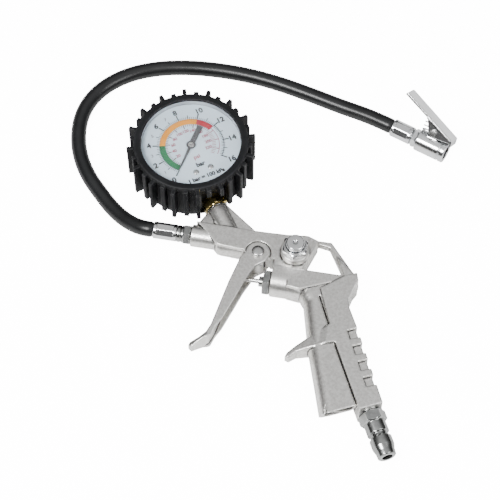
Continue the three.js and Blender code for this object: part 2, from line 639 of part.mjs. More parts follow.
function chuckBody() {
  const shell = addAll(
    chuckRound([
      [0, 17.5], [6.6, 17.5], [CHUCK_R, 18], [CHUCK_R, 33], [6.3, 33.2], [6.3, 33.9],
      [CHUCK_R, 34.1], [CHUCK_R, 36.2], [6.4, 37], [0, 37],
    ]),
    block(22.6, 29.4, -4.6, 4.6, 3, LEVER_PIN.z),
    lay(rod(3.3, -4.6, 4.6, 16), [LEVER_PIN.x, 0, LEVER_PIN.z], [0, 1, 0]),
  );
  return cutAll(
    shell,
    chuckRound([[0, 16], [4.3, 16], [4.3, 23], [0, 23]]),
    chuckRound([[0, 22], [2, 22], [2, 26], [0, 26]], 16),
    chuckRound([[0, 25.2], [4.5, 25.2], [4.5, 38], [0, 38]]),
    lay(rod(1.7, -8, 8, 16), [LEVER_PIN.x, 0, LEVER_PIN.z], [0, 1, 0]),
  );
}

function chuckLever() {
  const strip = [
    [1.4, 25.6], [2.4, 25.9], [38.9, 9.6], [39.2, 5.6], [38.1, 5.6], [37.9, 8.7], [0.9, 24.6],
  ];
  const web = (points, from, to) => plate(points, from, to).rotateX(Math.PI / 2);
  const cheek = [[19, 17.4], [23.2, 8.4], [26, 6.6], [37.9, 7.6], [38.2, 9.3]];
  const lever = addAll(web(strip, -6.4, 6.4), web(cheek, 5.1, 6.4), web(cheek, -6.4, -5.1));
  return cutAll(lever, lay(rod(1.7, -8, 8, 16), [LEVER_PIN.x, 0, LEVER_PIN.z], [0, 1, 0]));
}

function chuckNipple() {
  const nipple = hexBar(10.6, 14, 17.2).add(solidOf(turned([
    [0, 0.4], [2.6, 0.4], [2.6, 13.7], [4.8, 13.7], [4.8, 16], [4, 17], [4, 22.6], [0, 22.6],
  ], 24)));
  const bored = nipple.subtract(solidOf(rod(1.5, -1, 30, 16)));
  return bored.transform(new THREE.Matrix4().makeRotationY(Math.PI / 2).elements);
}

function corePin() {
  const disc = chuckRound([[0, 25.5], [4.2, 25.5], [4.2, 26.3], [0.9, 26.3], [0.9, 31.4], [0, 31.4]], 20);
  const ports = [0, 1, 2].map((i) => chuckRound([[0, 25], [0.8, 25], [0.8, 27], [0, 27]], 8)
    .translate(0, 2.6 * Math.cos(2.1 * i), 2.6 * Math.sin(2.1 * i)));
  return cutAll(solidOf(disc), ...ports);
}

addPiece(chuck, 'chuck_ferrule', chuckRound(
  [[2.9, 0], [5.6, 0], [5.6, 13.4], [2.9, 13.4], [2.9, 0]], 24), chromePlate());
addPiece(chuck, 'chuck_nipple', chuckNipple(), chromePlate());
addPiece(chuck, 'chuck_body', chuckBody(), chromePlate());
addPiece(chuck, 'chuck_core_pin', corePin(), springSteel());
addPiece(chuck, 'chuck_seal', chuckRound(
  [[1.7, 26.7], [4.2, 26.7], [4.2, 29.8], [1.7, 29.8], [1.7, 26.7]], 24), redRubber());
addPiece(chuck, 'chuck_lever', chuckLever(), chromePlate());
addPiece(chuck, 'lever_pin', lay(turned([
  [0, -7.8], [2.2, -7.8], [2.2, -6.7], [1.4, -6.7], [1.4, 7.2], [0, 7.2],
], 16), [LEVER_PIN.x, 0, LEVER_PIN.z], [0, 1, 0]), springSteel());
const leverSpring = addPiece(chuck, 'lever_spring', coilSpring(1.9, 0.35, 7.3, 15.4, 4), springSteel());
leverSpring.position.x = 19.6;

// ---------------------------------------------------------------- origin at the footprint's middle
const CORD_NAMES = new Set(['hose', 'chuck_ferrule', 'chuck_nipple', 'chuck_body', 'chuck_core_pin',
  'chuck_seal', 'chuck_lever', 'lever_pin', 'lever_spring']);
gun.updateMatrixWorld(true);
const footprint = new THREE.Box3();
gun.traverse((node) => {
  if (node.isMesh && !CORD_NAMES.has(node.name)) footprint.expandByObject(node, true);
});
const middle = footprint.getCenter(new THREE.Vector3());
gun.position.set(-middle.x, -middle.y, MID_HEIGHT);

export default gun;
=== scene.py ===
"""The looks of a tyre inflator with a gauge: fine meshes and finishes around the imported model."""

import json
import math

import bpy
import numpy as np
from mathutils import Matrix, Vector


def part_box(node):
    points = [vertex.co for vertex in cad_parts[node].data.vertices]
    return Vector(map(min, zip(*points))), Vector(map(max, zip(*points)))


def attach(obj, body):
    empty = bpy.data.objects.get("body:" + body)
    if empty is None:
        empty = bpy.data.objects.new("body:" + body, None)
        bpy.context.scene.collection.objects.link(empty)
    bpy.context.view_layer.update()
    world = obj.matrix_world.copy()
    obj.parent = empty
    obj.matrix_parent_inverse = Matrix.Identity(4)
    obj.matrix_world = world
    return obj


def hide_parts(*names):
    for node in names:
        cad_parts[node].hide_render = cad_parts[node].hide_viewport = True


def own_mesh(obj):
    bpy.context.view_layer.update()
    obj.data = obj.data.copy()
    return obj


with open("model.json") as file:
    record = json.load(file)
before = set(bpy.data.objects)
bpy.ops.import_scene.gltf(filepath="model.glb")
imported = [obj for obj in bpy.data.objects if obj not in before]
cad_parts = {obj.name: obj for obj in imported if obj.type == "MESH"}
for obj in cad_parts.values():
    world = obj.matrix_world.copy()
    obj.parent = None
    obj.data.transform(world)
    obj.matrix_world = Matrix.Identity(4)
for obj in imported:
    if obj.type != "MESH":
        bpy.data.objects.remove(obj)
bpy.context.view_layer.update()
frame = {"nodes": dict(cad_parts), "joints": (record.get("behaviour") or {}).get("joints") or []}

# ------------------------------------------------------------------ the frame's own places
# Shapes are drawn in millimetres from the trigger pivot, on the gun's middle plane.
MM = 0.001
JOINTS = {joint["name"]: joint for joint in frame["joints"]}


def joint_place(name):
    """A joint's point in millimetres."""
    return np.array(JOINTS[name]["pos_m"]) / MM


PIVOT = joint_place("trigger_pull")
GAUGE = joint_place("pointer_sweep") - PIVOT
LEVER_PIN = joint_place("lever_squeeze") - PIVOT
DIAL_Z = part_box("dial_plate")[1].z / MM - PIVOT[2]
GAUGE_TILT = math.radians(34)
GRIP_RAKE = math.radians(27.5)
CHUCK_TURN, CHUCK_ROLL = math.radians(-20.5), math.radians(-40)
OUTLET_AXIS = (0, 8.6, 0)
VALVE_AXIS = (0, -15.2, 0)
BLEED_AXIS = (21.5, 3.2, 0)
INLET_FACE = (79.0, -87.0, 0)
X_WAY, Y_WAY, Z_WAY = (1, 0, 0), (0, 1, 0), (0, 0, 1)


def turn_about_z(angle):
    """A turn as a matrix, from an angle in radians."""
    return np.array(Matrix.Rotation(angle, 3, "Z"))


def along(direction):
    """Turns +Z to a direction."""
    return np.array(Vector((0, 0, 1)).rotation_difference(Vector(direction)).to_matrix())


GAUGE_TURN = turn_about_z(GAUGE_TILT)
GAUGE_FOOT = np.array([GAUGE[0], GAUGE[1], 0.0])
CHUCK_AXES = turn_about_z(CHUCK_TURN) @ np.array(Matrix.Rotation(CHUCK_ROLL, 3, "X"))
CHUCK_PIN = np.array([26.0, 0.0, 9.5])
CHUCK_FOOT = LEVER_PIN - CHUCK_AXES @ CHUCK_PIN
GRIP_DOWN = np.array([math.sin(GRIP_RAKE), -math.cos(GRIP_RAKE), 0.0])
BOSS_DOWN = np.array([math.sin(GAUGE_TILT), -math.cos(GAUGE_TILT), 0.0])
STEM_REACH = 39.8
BOSS_TOP = GAUGE_FOOT + STEM_REACH * BOSS_DOWN


# ------------------------------------------------------------------ camera
CAMERA_AZIMUTH, CAMERA_ELEVATION = math.radians(10), math.radians(60)
CAMERA_DISTANCE = 1.0
CAMERA_AIM = (-7.0, 12.7, -14.0)
FOCAL_LENGTH, SENSOR_WIDTH = 119.5, 36


def make_camera():
    """Looks down at the whole model from its front."""
    target = Vector((PIVOT + np.array(CAMERA_AIM)) * MM)
    back = Vector((
        math.sin(CAMERA_AZIMUTH) * math.cos(CAMERA_ELEVATION),
        -math.cos(CAMERA_AZIMUTH) * math.cos(CAMERA_ELEVATION),
        math.sin(CAMERA_ELEVATION),
    ))
    camera = bpy.data.objects.new("camera", bpy.data.cameras.new("camera"))
    camera.location = target + CAMERA_DISTANCE * back
    camera.rotation_euler = back.to_track_quat("Z", "Y").to_euler()
    camera.data.lens = FOCAL_LENGTH
    camera.data.sensor_width = SENSOR_WIDTH
    bpy.context.collection.objects.link(camera)
    bpy.context.scene.camera = camera


make_camera()


# ------------------------------------------------------------------ shader helpers
def new_group(name, inputs, outputs):
    """An empty node group with named float or colour inputs and outputs."""
    group = bpy.data.node_groups.new(name, "ShaderNodeTree")
    for label, default in inputs.items():
        kind = "NodeSocketFloat" if isinstance(default, (int, float)) else "NodeSocketColor"
        socket = group.interface.new_socket(label, in_out="INPUT", socket_type=kind)
        socket.default_value = default
    for label, kind in outputs.items():
        group.interface.new_socket(label, in_out="OUTPUT", socket_type=kind)
    start = group.nodes.new("NodeGroupInput")
    end = group.nodes.new("NodeGroupOutput")
    return group, start, end


def node(tree, kind, **settings):
    """A node with its properties and its unlinked inputs set by name."""
    made = tree.nodes.new(kind)
    for key, value in settings.items():
        if key in made.inputs:
            made.inputs[key].default_value = value
        else:
            setattr(made, key, value)
    return made


def wire(tree, source, target):
    """Links an output to an input."""
    tree.links.new(source, target)


def grain_group():
    """Fine noise and broad mottling, from object coordinates in metres."""
    group, start, end = new_group(
        "grain", {"Scale": 900.0, "Mottle Scale": 60.0},
        {"Fine": "NodeSocketFloat", "Mottle": "NodeSocketFloat"})
    place = node(group, "ShaderNodeTexCoord")
    for label, source, detail in (("Fine", "Scale", 4.0), ("Mottle", "Mottle Scale", 3.0)):
        noise = node(group, "ShaderNodeTexNoise", Detail=detail, Roughness=0.6)
        wire(group, place.outputs["Object"], noise.inputs["Vector"])
        wire(group, start.outputs[source], noise.inputs["Scale"])
        wire(group, noise.outputs["Fac"], end.inputs[label])
    return group


FLAT_POINTINESS = 0.5


def wear_group():
    """A mask of convex edges, or of creases where the width is negative, broken up by noise. It
    places lighter edges, worn and partly painted highlight, and painted crease shade.
    """
    group, start, end = new_group(
        "edge_wear_highlight_and_crease_shade", {"Width": 0.05, "Amount": 1.0}, {"Mask": "NodeSocketFloat"})
    shape = node(group, "ShaderNodeNewGeometry")
    place = node(group, "ShaderNodeTexCoord")
    noise = node(group, "ShaderNodeTexNoise", Scale=400.0, Detail=3.0)
    wire(group, place.outputs["Object"], noise.inputs["Vector"])
    rim = node(group, "ShaderNodeMath", operation="SUBTRACT")
    rim.inputs[1].default_value = FLAT_POINTINESS
    wire(group, shape.outputs["Pointiness"], rim.inputs[0])
    share = node(group, "ShaderNodeMath", operation="DIVIDE", use_clamp=True)
    wire(group, rim.outputs[0], share.inputs[0])
    wire(group, start.outputs["Width"], share.inputs[1])
    broken = node(group, "ShaderNodeMath", operation="MULTIPLY")
    wire(group, share.outputs[0], broken.inputs[0])
    wire(group, noise.outputs["Fac"], broken.inputs[1])
    whole = node(group, "ShaderNodeMath", operation="MULTIPLY", use_clamp=True)
    wire(group, broken.outputs[0], whole.inputs[0])
    wire(group, start.outputs["Amount"], whole.inputs[1])
    wire(group, whole.outputs[0], end.inputs["Mask"])
    return group


def tone_group():
    """A base colour varied between a dark and a light tone by one value."""
    group, start, end = new_group(
        "tone", {"Value": 0.5, "Low": 0.35, "High": 0.65, "Dark": (0.1, 0.1, 0.1, 1),
                 "Light": (0.2, 0.2, 0.2, 1)}, {"Color": "NodeSocketColor"})
    spread = node(group, "ShaderNodeMapRange")
    wire(group, start.outputs["Value"], spread.inputs["Value"])
    wire(group, start.outputs["Low"], spread.inputs["From Min"])
    wire(group, start.outputs["High"], spread.inputs["From Max"])
    mix = node(group, "ShaderNodeMix", data_type="RGBA")
    wire(group, spread.outputs["Result"], mix.inputs[0])
    wire(group, start.outputs["Dark"], mix.inputs[6])
    wire(group, start.outputs["Light"], mix.inputs[7])
    wire(group, mix.outputs[2], end.inputs["Color"])
    return group


GRAIN = grain_group()
EDGE_LIGHT_AND_CREASE_SHADE = wear_group()
TONE = tone_group()


def place_group(tree, group, **values):
    """A node group in a material, with its own values. Underscores stand for spaces."""
    made = tree.nodes.new("ShaderNodeGroup")
    made.node_tree = group
    for label, value in values.items():
        made.inputs[label.replace("_", " ")].default_value = value
    return made


# The crease tint darkens hollows and corners of the casting: painted shade.
CREASE_SHADE_WIDTH, CREASE_SHADE_AMOUNT = -0.045, 2.6
RELIEF_DEPTH = 0.0002
COAT_ROUGHNESS = 0.15


def make_finish(name, dark, light, roughness, metallic=0.0, grain=900.0, mottle=60.0, bump=0.1,
                rough_swing=0.08, wear_and_highlight=None, wear_and_highlight_width=0.06, crease_shade=None, coat=0.0,
                specular=0.5):
    """A material with mottled colour, varied roughness, grain bump, lighter edges that are worn and
    partly painted highlight, and creases darkened as painted shade.
    """
    material = bpy.data.materials.new(name)
    material.use_nodes = True
    tree = material.node_tree
    shader = tree.nodes["Principled BSDF"]
    shader.inputs["Metallic"].default_value = metallic
    shader.inputs["Specular IOR Level"].default_value = specular
    if coat:
        shader.inputs["Coat Weight"].default_value = coat
        shader.inputs["Coat Roughness"].default_value = COAT_ROUGHNESS
    grains = place_group(tree, GRAIN, Scale=grain, Mottle_Scale=mottle)
    tone = place_group(tree, TONE, Dark=(*dark, 1), Light=(*light, 1))
    wire(tree, grains.outputs["Mottle"], tone.inputs["Value"])
    colour = tone.outputs["Color"]
    # Lighter convex edges (wear, partly painted highlight), then creases darkened as painted shade.
    for tint, width, amount in ((wear_and_highlight, wear_and_highlight_width, 1.0), (crease_shade, CREASE_SHADE_WIDTH, CREASE_SHADE_AMOUNT)):
        if tint is None:
            continue
        mask = place_group(tree, EDGE_LIGHT_AND_CREASE_SHADE, Width=width, Amount=amount)
        mix = node(tree, "ShaderNodeMix", data_type="RGBA")
        mix.inputs[7].default_value = (*tint, 1)
        wire(tree, mask.outputs["Mask"], mix.inputs[0])
        wire(tree, colour, mix.inputs[6])
        colour = mix.outputs[2]
    wire(tree, colour, shader.inputs["Base Color"])
    swing = node(tree, "ShaderNodeMapRange")
    swing.inputs["To Min"].default_value = max(roughness - rough_swing, 0.02)
    swing.inputs["To Max"].default_value = roughness + rough_swing
    wire(tree, grains.outputs["Fine"], swing.inputs["Value"])
    wire(tree, swing.outputs["Result"], shader.inputs["Roughness"])
    relief = node(tree, "ShaderNodeBump", Strength=bump, Distance=RELIEF_DEPTH)
    wire(tree, grains.outputs["Fine"], relief.inputs["Height"])
    wire(tree, relief.outputs["Normal"], shader.inputs["Normal"])
    return material


# ------------------------------------------------------------------ finishes
# Each finish has its darkest and lightest colour, its roughness and what sets it apart.
METALS = {
    # The casting's whitish edges are partly painted highlight; its near-black creases are painted
    # shade.
    "cast_aluminium": ((0.76, 0.75, 0.72), (0.97, 0.96, 0.93), 0.31, {
        "metallic": 0.95, "grain": 1500, "mottle": 600, "bump": 0.4,
        "wear_and_highlight": (0.98, 0.97, 0.95), "crease_shade": (0.07, 0.07, 0.065)}),
    "chrome_plate": ((0.80, 0.81, 0.82), (0.90, 0.91, 0.92), 0.17, {
        "metallic": 1.0, "grain": 700, "mottle": 80, "bump": 0.015, "rough_swing": 0.04}),
    "nickel_plate": ((0.60, 0.60, 0.59), (0.72, 0.72, 0.71), 0.24, {
        "metallic": 1.0, "grain": 1200, "mottle": 120, "bump": 0.04}),
    "spring_steel": ((0.42, 0.43, 0.44), (0.56, 0.57, 0.58), 0.3, {
        "metallic": 1.0, "grain": 1500, "bump": 0.05}),
    "grey_steel": ((0.27, 0.275, 0.27), (0.42, 0.43, 0.425), 0.22, {
        "metallic": 1.0, "grain": 1300, "mottle": 110, "wear_and_highlight": (0.62, 0.63, 0.62)}),
    "brass": ((0.74, 0.56, 0.20), (0.90, 0.72, 0.32), 0.2, {
        "metallic": 1.0, "grain": 1100, "mottle": 120, "bump": 0.05}),
}
RUBBERS = {
    "boot_rubber": ((0.006, 0.0065, 0.0075), (0.013, 0.0138, 0.0155), 0.5, {
        "grain": 1600, "mottle": 50, "bump": 0.22, "wear_and_highlight": (0.07, 0.071, 0.075),
        "wear_and_highlight_width": 0.1, "specular": 0.22}),
    "hose_rubber": ((0.007, 0.0075, 0.008), (0.013, 0.0135, 0.0145), 0.33, {
        "grain": 1300, "mottle": 70, "bump": 0.12}),
    "seal_rubber": ((0.015, 0.015, 0.016), (0.03, 0.03, 0.03), 0.6, {}),
    "chuck_rubber": ((0.12, 0.02, 0.015), (0.19, 0.04, 0.03), 0.6, {}),
}
PAINTS = {
    "case_paint": ((0.012, 0.012, 0.014), (0.022, 0.022, 0.024), 0.3, {"bump": 0.04, "coat": 0.3}),
    "dial_enamel": ((0.40, 0.48, 0.54), (0.45, 0.53, 0.59), 0.4, {
        "mottle": 20, "bump": 0.02, "rough_swing": 0.03}),
    "bezel_grey": ((0.20, 0.22, 0.25), (0.34, 0.37, 0.40), 0.3, {"bump": 0.02, "coat": 0.3}),
    "pointer_paint": ((0.035, 0.036, 0.038), (0.055, 0.056, 0.06), 0.45, {"bump": 0.04}),
}
INKS = {
    "ink_black": ((0.003, 0.0035, 0.005), (0.006, 0.006, 0.008), 0.6, {}),
    "ink_grey": ((0.10, 0.10, 0.115), (0.14, 0.13, 0.15), 0.6, {}),
    "ink_rose": ((0.20, 0.03, 0.045), (0.25, 0.045, 0.065), 0.6, {}),
    "ink_brown": ((0.04, 0.016, 0.014), (0.07, 0.026, 0.02), 0.6, {}),
    "band_green": ((0.004, 0.085, 0.028), (0.006, 0.10, 0.034), 0.45, {}),
    "band_amber": ((0.50, 0.18, 0.003), (0.56, 0.21, 0.006), 0.45, {}),
    "band_red": ((0.25, 0.003, 0.012), (0.29, 0.005, 0.016), 0.45, {}),
}
FINISH = {}
for family in (METALS, RUBBERS, PAINTS, INKS):
    for name, (dark, light, roughness, rest) in family.items():
        FINISH[name] = make_finish(name, dark, light, roughness, **rest)

# The record's slot for each finish, in a table that nothing reads: its own name, apart from these.
SLOT_OF = dict.fromkeys(INKS, "dial_enamel")
SLOT_OF.update(cast_aluminium="cast_body", nickel_plate="plated_pin", bezel_grey="case_paint")


def make_lens_material():
    """Clear pane: glass to the eye, open to the lamps."""
    material = bpy.data.materials.new("lens_pane")
    material.use_nodes = True
    tree = material.node_tree
    shader = tree.nodes["Principled BSDF"]
    shader.inputs["Base Color"].default_value = (0.98, 0.99, 1.0, 1)
    shader.inputs["Roughness"].default_value = 0.03
    shader.inputs["IOR"].default_value = 1.46
    shader.inputs["Transmission Weight"].default_value = 1.0
    clear = node(tree, "ShaderNodeBsdfTransparent")
    path = node(tree, "ShaderNodeLightPath")
    mix = node(tree, "ShaderNodeMixShader")
    wire(tree, path.outputs["Is Shadow Ray"], mix.inputs["Fac"])
    wire(tree, shader.outputs["BSDF"], mix.inputs[1])
    wire(tree, clear.outputs["BSDF"], mix.inputs[2])
    wire(tree, mix.outputs["Shader"], tree.nodes["Material Output"].inputs["Surface"])
    return material


LENS_PANE = make_lens_material()


# ------------------------------------------------------------------ pieces from meshes
def add_piece(name, vertices, faces, finish, body="gun", stands_for=(), sharp=35):
    """A smooth-shaded mesh piece from points in millimetres about the trigger pivot."""
    mesh = bpy.data.meshes.new(name)
    points = (np.asarray(vertices, float) + PIVOT) * MM
    mesh.from_pydata(points.tolist(), [], [list(map(int, face)) for face in faces])
    mesh.validate()
    mesh.shade_smooth()
    if sharp:
        mesh.set_sharp_from_angle(angle=math.radians(sharp))
    made = bpy.data.objects.new(name, mesh)
    bpy.context.collection.objects.link(made)
    made.data.materials.append(FINISH[finish])
    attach(made, body)
    if stands_for:
        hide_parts(*stands_for)
    return made


def join_meshes(*parts):
    """Several (vertices, faces) as one."""
    vertices, faces, count = [], [], 0
    for points, loops in parts:
        vertices.append(np.asarray(points, float))
        faces += [[index + count for index in loop] for loop in loops]
        count += len(points)
    return np.vstack(vertices), faces


def moved(part, turn=np.eye(3), shift=(0, 0, 0)):
    """A mesh turned about the origin, then moved."""
    points, faces = part
    return np.asarray(points) @ np.asarray(turn).T + np.asarray(shift), faces


TURN_TO_X = along(X_WAY)
TURN_TO_BACK = np.array(Matrix.Rotation(-math.pi / 2, 3, "Y"))
TURN_TO_FOOT = np.array(Matrix.Rotation(math.pi / 2, 3, "X"))


# A piece is drawn about +Z or in its part's own axes, and these lay it in its place.
def on_valve(part):
    return moved(part, TURN_TO_X, VALVE_AXIS)


def on_outlet(part):
    return moved(part, TURN_TO_BACK, OUTLET_AXIS)


def on_bleed(part):
    return moved(part, shift=BLEED_AXIS)


def on_inlet(part):
    return moved(part, along(GRIP_DOWN), INLET_FACE)


def on_gauge(part):
    return moved(part, GAUGE_TURN, GAUGE_FOOT)


def on_chuck(part):
    return moved(part, CHUCK_AXES, CHUCK_FOOT)


def chuck_round(part):
    return on_chuck(moved(part, TURN_TO_X))


# ------------------------------------------------------------------ turned pieces
def soft_profile(points, radius=0.25, steps=3):
    """A profile of (radius, height, flats) with its corners rounded. flats is 0 on round parts."""
    result = []
    for i, (r, t, flats) in enumerate(points):
        if r == 0 or i in (0, len(points) - 1):
            result.append((r, t, flats))
            continue
        here = np.array([r, t])
        back, ahead = np.array(points[i - 1][:2]) - here, np.array(points[i + 1][:2]) - here
        reach = min(radius, 0.45 * np.linalg.norm(back), 0.45 * np.linalg.norm(ahead))
        start = here + back / np.linalg.norm(back) * reach
        end = here + ahead / np.linalg.norm(ahead) * reach
        for k in range(steps + 1):
            u = k / steps
            p = (1 - u) ** 2 * start + 2 * u * (1 - u) * here + u ** 2 * end
            result.append((p[0], p[1], flats))
    return result


def turned(profile, sides=96, radius=0.25, closed=False, facets=6):
    """A round or faceted piece about +Z. Each profile point is (radius, height) or
    (radius, height, across flats)."""
    points = [(p[0], p[1], p[2] if len(p) > 2 else 0) for p in profile]
    rings = soft_profile(points, radius) if radius else points
    angles = np.arange(sides) * 2 * math.pi / sides
    wedge = (angles + math.pi / facets) % (2 * math.pi / facets) - math.pi / facets
    vertices, rows = [], []
    for r, t, flats in rings:
        if r == 0:
            rows.append([len(vertices)])
            vertices.append((0, 0, t))
            continue
        reach = np.full(sides, float(r))
        if flats:
            reach = np.minimum(reach, flats / 2 / np.cos(wedge))
        rows.append(list(range(len(vertices), len(vertices) + sides)))
        vertices += list(zip(reach * np.cos(angles), reach * np.sin(angles), [t] * sides))
    faces = []
    pairs = list(zip(rows, rows[1:])) + ([(rows[-1], rows[0])] if closed else [])
    for low, high in pairs:
        for i in range(sides):
            j = (i + 1) % sides
            if len(low) == 1 and len(high) == 1:
                break
            if len(low) == 1:
                faces.append((low[0], high[j], high[i]))
            elif len(high) == 1:
                faces.append((low[i], low[j], high[0]))
            else:
                faces.append((low[i], low[j], high[j], high[i]))
    return np.array(vertices), faces


def hexagon(flats, start, end):
    """The profile of a chamfered hexagon between two heights."""
    corner, face, bevel = flats / 2 / math.cos(math.pi / 6), flats / 2 - 0.3, 0.75
    return [(face, start, flats), (corner, start + bevel, flats), (corner, end - bevel, flats),
            (face, end, flats)]


# ------------------------------------------------------------------ castings from distance fields
FAR = 50.0
MARGIN = 2


def shifted(grid, offset):
    """A grid less one layer each way, from an offset of 0 or 1 along each axis."""
    sizes = np.array(grid.shape) - 1
    return grid[tuple(slice(o, o + n) for o, n in zip(offset, sizes))]


class Casting:
    """A solid held as a distance field on a grid, joined and cut with soft fillets."""

    def __init__(self, low, high, cell):
        self.low, self.cell = np.array(low, float), cell
        counts = np.ceil((np.array(high) - self.low) / cell).astype(int) + 1
        self.axes = [self.low[i] + cell * np.arange(counts[i]) for i in range(3)]
        self.field = np.full(counts, FAR, np.float32)

    def window(self, box):
        """The part of the grid in a box, and its coordinates."""
        part = []
        for axis, (low, high) in zip(self.axes, box):
            first = max(int((low - axis[0]) / self.cell), 0)
            last = min(int((high - axis[0]) / self.cell) + 2, len(axis))
            part.append(slice(first, max(last, first + 1)))
        grid = np.meshgrid(*[axis[cut] for axis, cut in zip(self.axes, part)],
                           indexing="ij", sparse=True)
        return tuple(part), grid

    def merge(self, shape, soft, sign):
        """Joins a shape where sign is 1 and cuts it away where sign is -1."""
        distance, box = shape
        reach = MARGIN + soft
        part, grid = self.window([(low - reach, high + reach) for low, high in box])
        old, new = sign * self.field[part], distance(*grid).astype(np.float32)
        merged = np.minimum(old, new)
        if soft:
            blend = np.maximum(soft - np.abs(old - new), 0)
            merged = merged - blend * blend / (4 * soft)
        self.field[part] = sign * merged

    def join(self, shape, soft=0.0):
        self.merge(shape, soft, 1)

    def cut(self, shape, soft=0.0):
        self.merge(shape, soft, -1)

    def crossed_cells(self, field):
        """The cells that the zero surface passes through, and its middle point in each."""
        corners = list(np.ndindex(2, 2, 2))
        count = sum(shifted(field < 0, corner).astype(np.uint8) for corner in corners)
        cells = np.argwhere((count > 0) & (count < 8))
        total, hits = np.zeros((len(cells), 3)), np.zeros(len(cells))
        for a in corners:
            for axis in range(3):
                if a[axis]:
                    continue
                b = tuple(a[i] + (i == axis) for i in range(3))
                fa = field[tuple((cells + a).T)].astype(float)
                fb = field[tuple((cells + b).T)].astype(float)
                cross = (fa < 0) != (fb < 0)
                share = np.where(cross, fa / np.where(cross, fa - fb, 1), 0)
                spot = np.array(a, float) + share[:, None] * (np.array(b) - np.array(a))
                total[cross] += spot[cross]
                hits += cross
        return cells, (cells + total / hits[:, None] - 1) * self.cell + self.low

    def surface(self):
        """The zero surface as quads, one vertex in each cell that it passes through."""
        field = np.pad(self.field, 1, constant_values=FAR)
        cells, vertices = self.crossed_cells(field)
        number = np.full(np.array(field.shape) - 1, -1, np.int64)
        number[tuple(cells.T)] = np.arange(len(cells))
        step = np.eye(3, dtype=int)
        faces = []
        for axis in range(3):
            u, v = (axis + 1) % 3, (axis + 2) % 3
            here = shifted(field, (0, 0, 0)) < 0
            ahead = shifted(field, step[axis]) < 0
            edges = np.argwhere(here != ahead)
            edges = edges[(edges[:, u] > 0) & (edges[:, v] > 0)]
            ring = [edges, edges - step[u], edges - step[u] - step[v], edges - step[v]]
            quad = np.stack([number[tuple(r.T)] for r in ring], 1)
            outward = here[tuple(edges.T)]
            quad[~outward] = quad[~outward][:, ::-1]
            faces.append(quad[(quad >= 0).all(1)])
        return vertices, np.vstack(faces)


def box_of(points, low, high):
    """The box of an outline raised from low to high."""
    xs, ys = [p[0] for p in points], [p[1] for p in points]
    return [(min(xs), max(xs)), (min(ys), max(ys)), (low, high)]


def outline_distance(x, y, points):
    """Signed distance to a closed outline, negative inside."""
    nearest = np.full(np.broadcast(x, y).shape, 1e9)
    inside = np.zeros(nearest.shape, bool)
    for (ax, ay), (bx, by) in zip(points, points[1:] + points[:1]):
        ex, ey = bx - ax, by - ay
        share = np.clip(((x - ax) * ex + (y - ay) * ey) / (ex * ex + ey * ey), 0, 1)
        nearest = np.minimum(nearest, (x - ax - share * ex) ** 2 + (y - ay - share * ey) ** 2)
        if ay != by:
            inside ^= ((ay > y) != (by > y)) & (x < ex * (y - ay) / ey + ax)
    return np.where(inside, -1, 1) * np.sqrt(nearest)


def rounded(side, end, edge):
    """Joins a distance across and a distance along into one with a rounded edge."""
    side, end = side + edge, end + edge
    outer = np.hypot(np.maximum(side, 0), np.maximum(end, 0))
    return np.minimum(np.maximum(side, end), 0) + outer - edge


def slab(points, low, high, edge=0.5):
    """An outline in the gun's plane, raised from low to high."""
    def distance(x, y, z):
        return rounded(outline_distance(x, y, points), np.abs(z - (low + high) / 2)
                       - (high - low) / 2, edge)
    return distance, box_of(points, low, high)


def bar(start, direction, low, high, radius, edge=0.3):
    """A round bar along a direction from a point."""
    start, direction = np.array(start, float), np.array(direction, float)
    direction = direction / np.linalg.norm(direction)
    ends = np.array([start + low * direction, start + high * direction])

    def distance(x, y, z):
        dx, dy, dz = x - start[0], y - start[1], z - start[2]
        t = dx * direction[0] + dy * direction[1] + dz * direction[2]
        off = np.sqrt(np.maximum(dx * dx + dy * dy + dz * dz - t * t, 0))
        return rounded(off - radius, np.abs(t - (low + high) / 2) - (high - low) / 2, edge)
    return distance, [(ends[:, i].min() - radius, ends[:, i].max() + radius) for i in range(3)]


def cube(low, high, turn=np.eye(3), shift=(0, 0, 0), edge=0.3):
    """A box with rounded edges, turned and moved."""
    turn, shift = np.array(turn), np.array(shift, float)
    middle, half = (np.array(low) + high) / 2, (np.array(high, float) - low) / 2
    centre = turn @ middle + shift
    reach = np.abs(turn) @ half

    def distance(x, y, z):
        dx, dy, dz = x - centre[0], y - centre[1], z - centre[2]
        q = [np.abs(turn[0, i] * dx + turn[1, i] * dy + turn[2, i] * dz) - half[i] + edge
             for i in range(3)]
        outer = np.sqrt(sum(np.maximum(a, 0) ** 2 for a in q))
        return np.minimum(np.maximum(np.maximum(q[0], q[1]), q[2]), 0) + outer - edge
    return distance, [(centre[i] - reach[i], centre[i] + reach[i]) for i in range(3)]


def spun(profile):
    """A closed outline of (radius, height) points turned about +Z."""
    def distance(x, y, z):
        return outline_distance(np.hypot(x, y) + 0 * z, z + 0 * x + 0 * y, profile)
    reach, heights = max(p[0] for p in profile), [p[1] for p in profile]
    return distance, [(-reach, reach), (-reach, reach), (min(heights), max(heights))]


def upright(shape):
    """A slab's shape with its outline in the XZ plane."""
    distance, box = shape
    return (lambda x, y, z: distance(x, z, y)), [box[0], box[2], box[1]]


def laid_along_x(shape):
    """A shape about +Z, laid along +X."""
    distance, box = shape
    return (lambda x, y, z: distance(y, z, x)), [box[2], box[0], box[1]]


def arc(cx, cy, radius, start, end, steps):
    """Points on an arc, in degrees."""
    angles = np.radians(np.linspace(start, end, steps + 1))
    return [(cx + radius * math.cos(a), cy + radius * math.sin(a)) for a in angles]


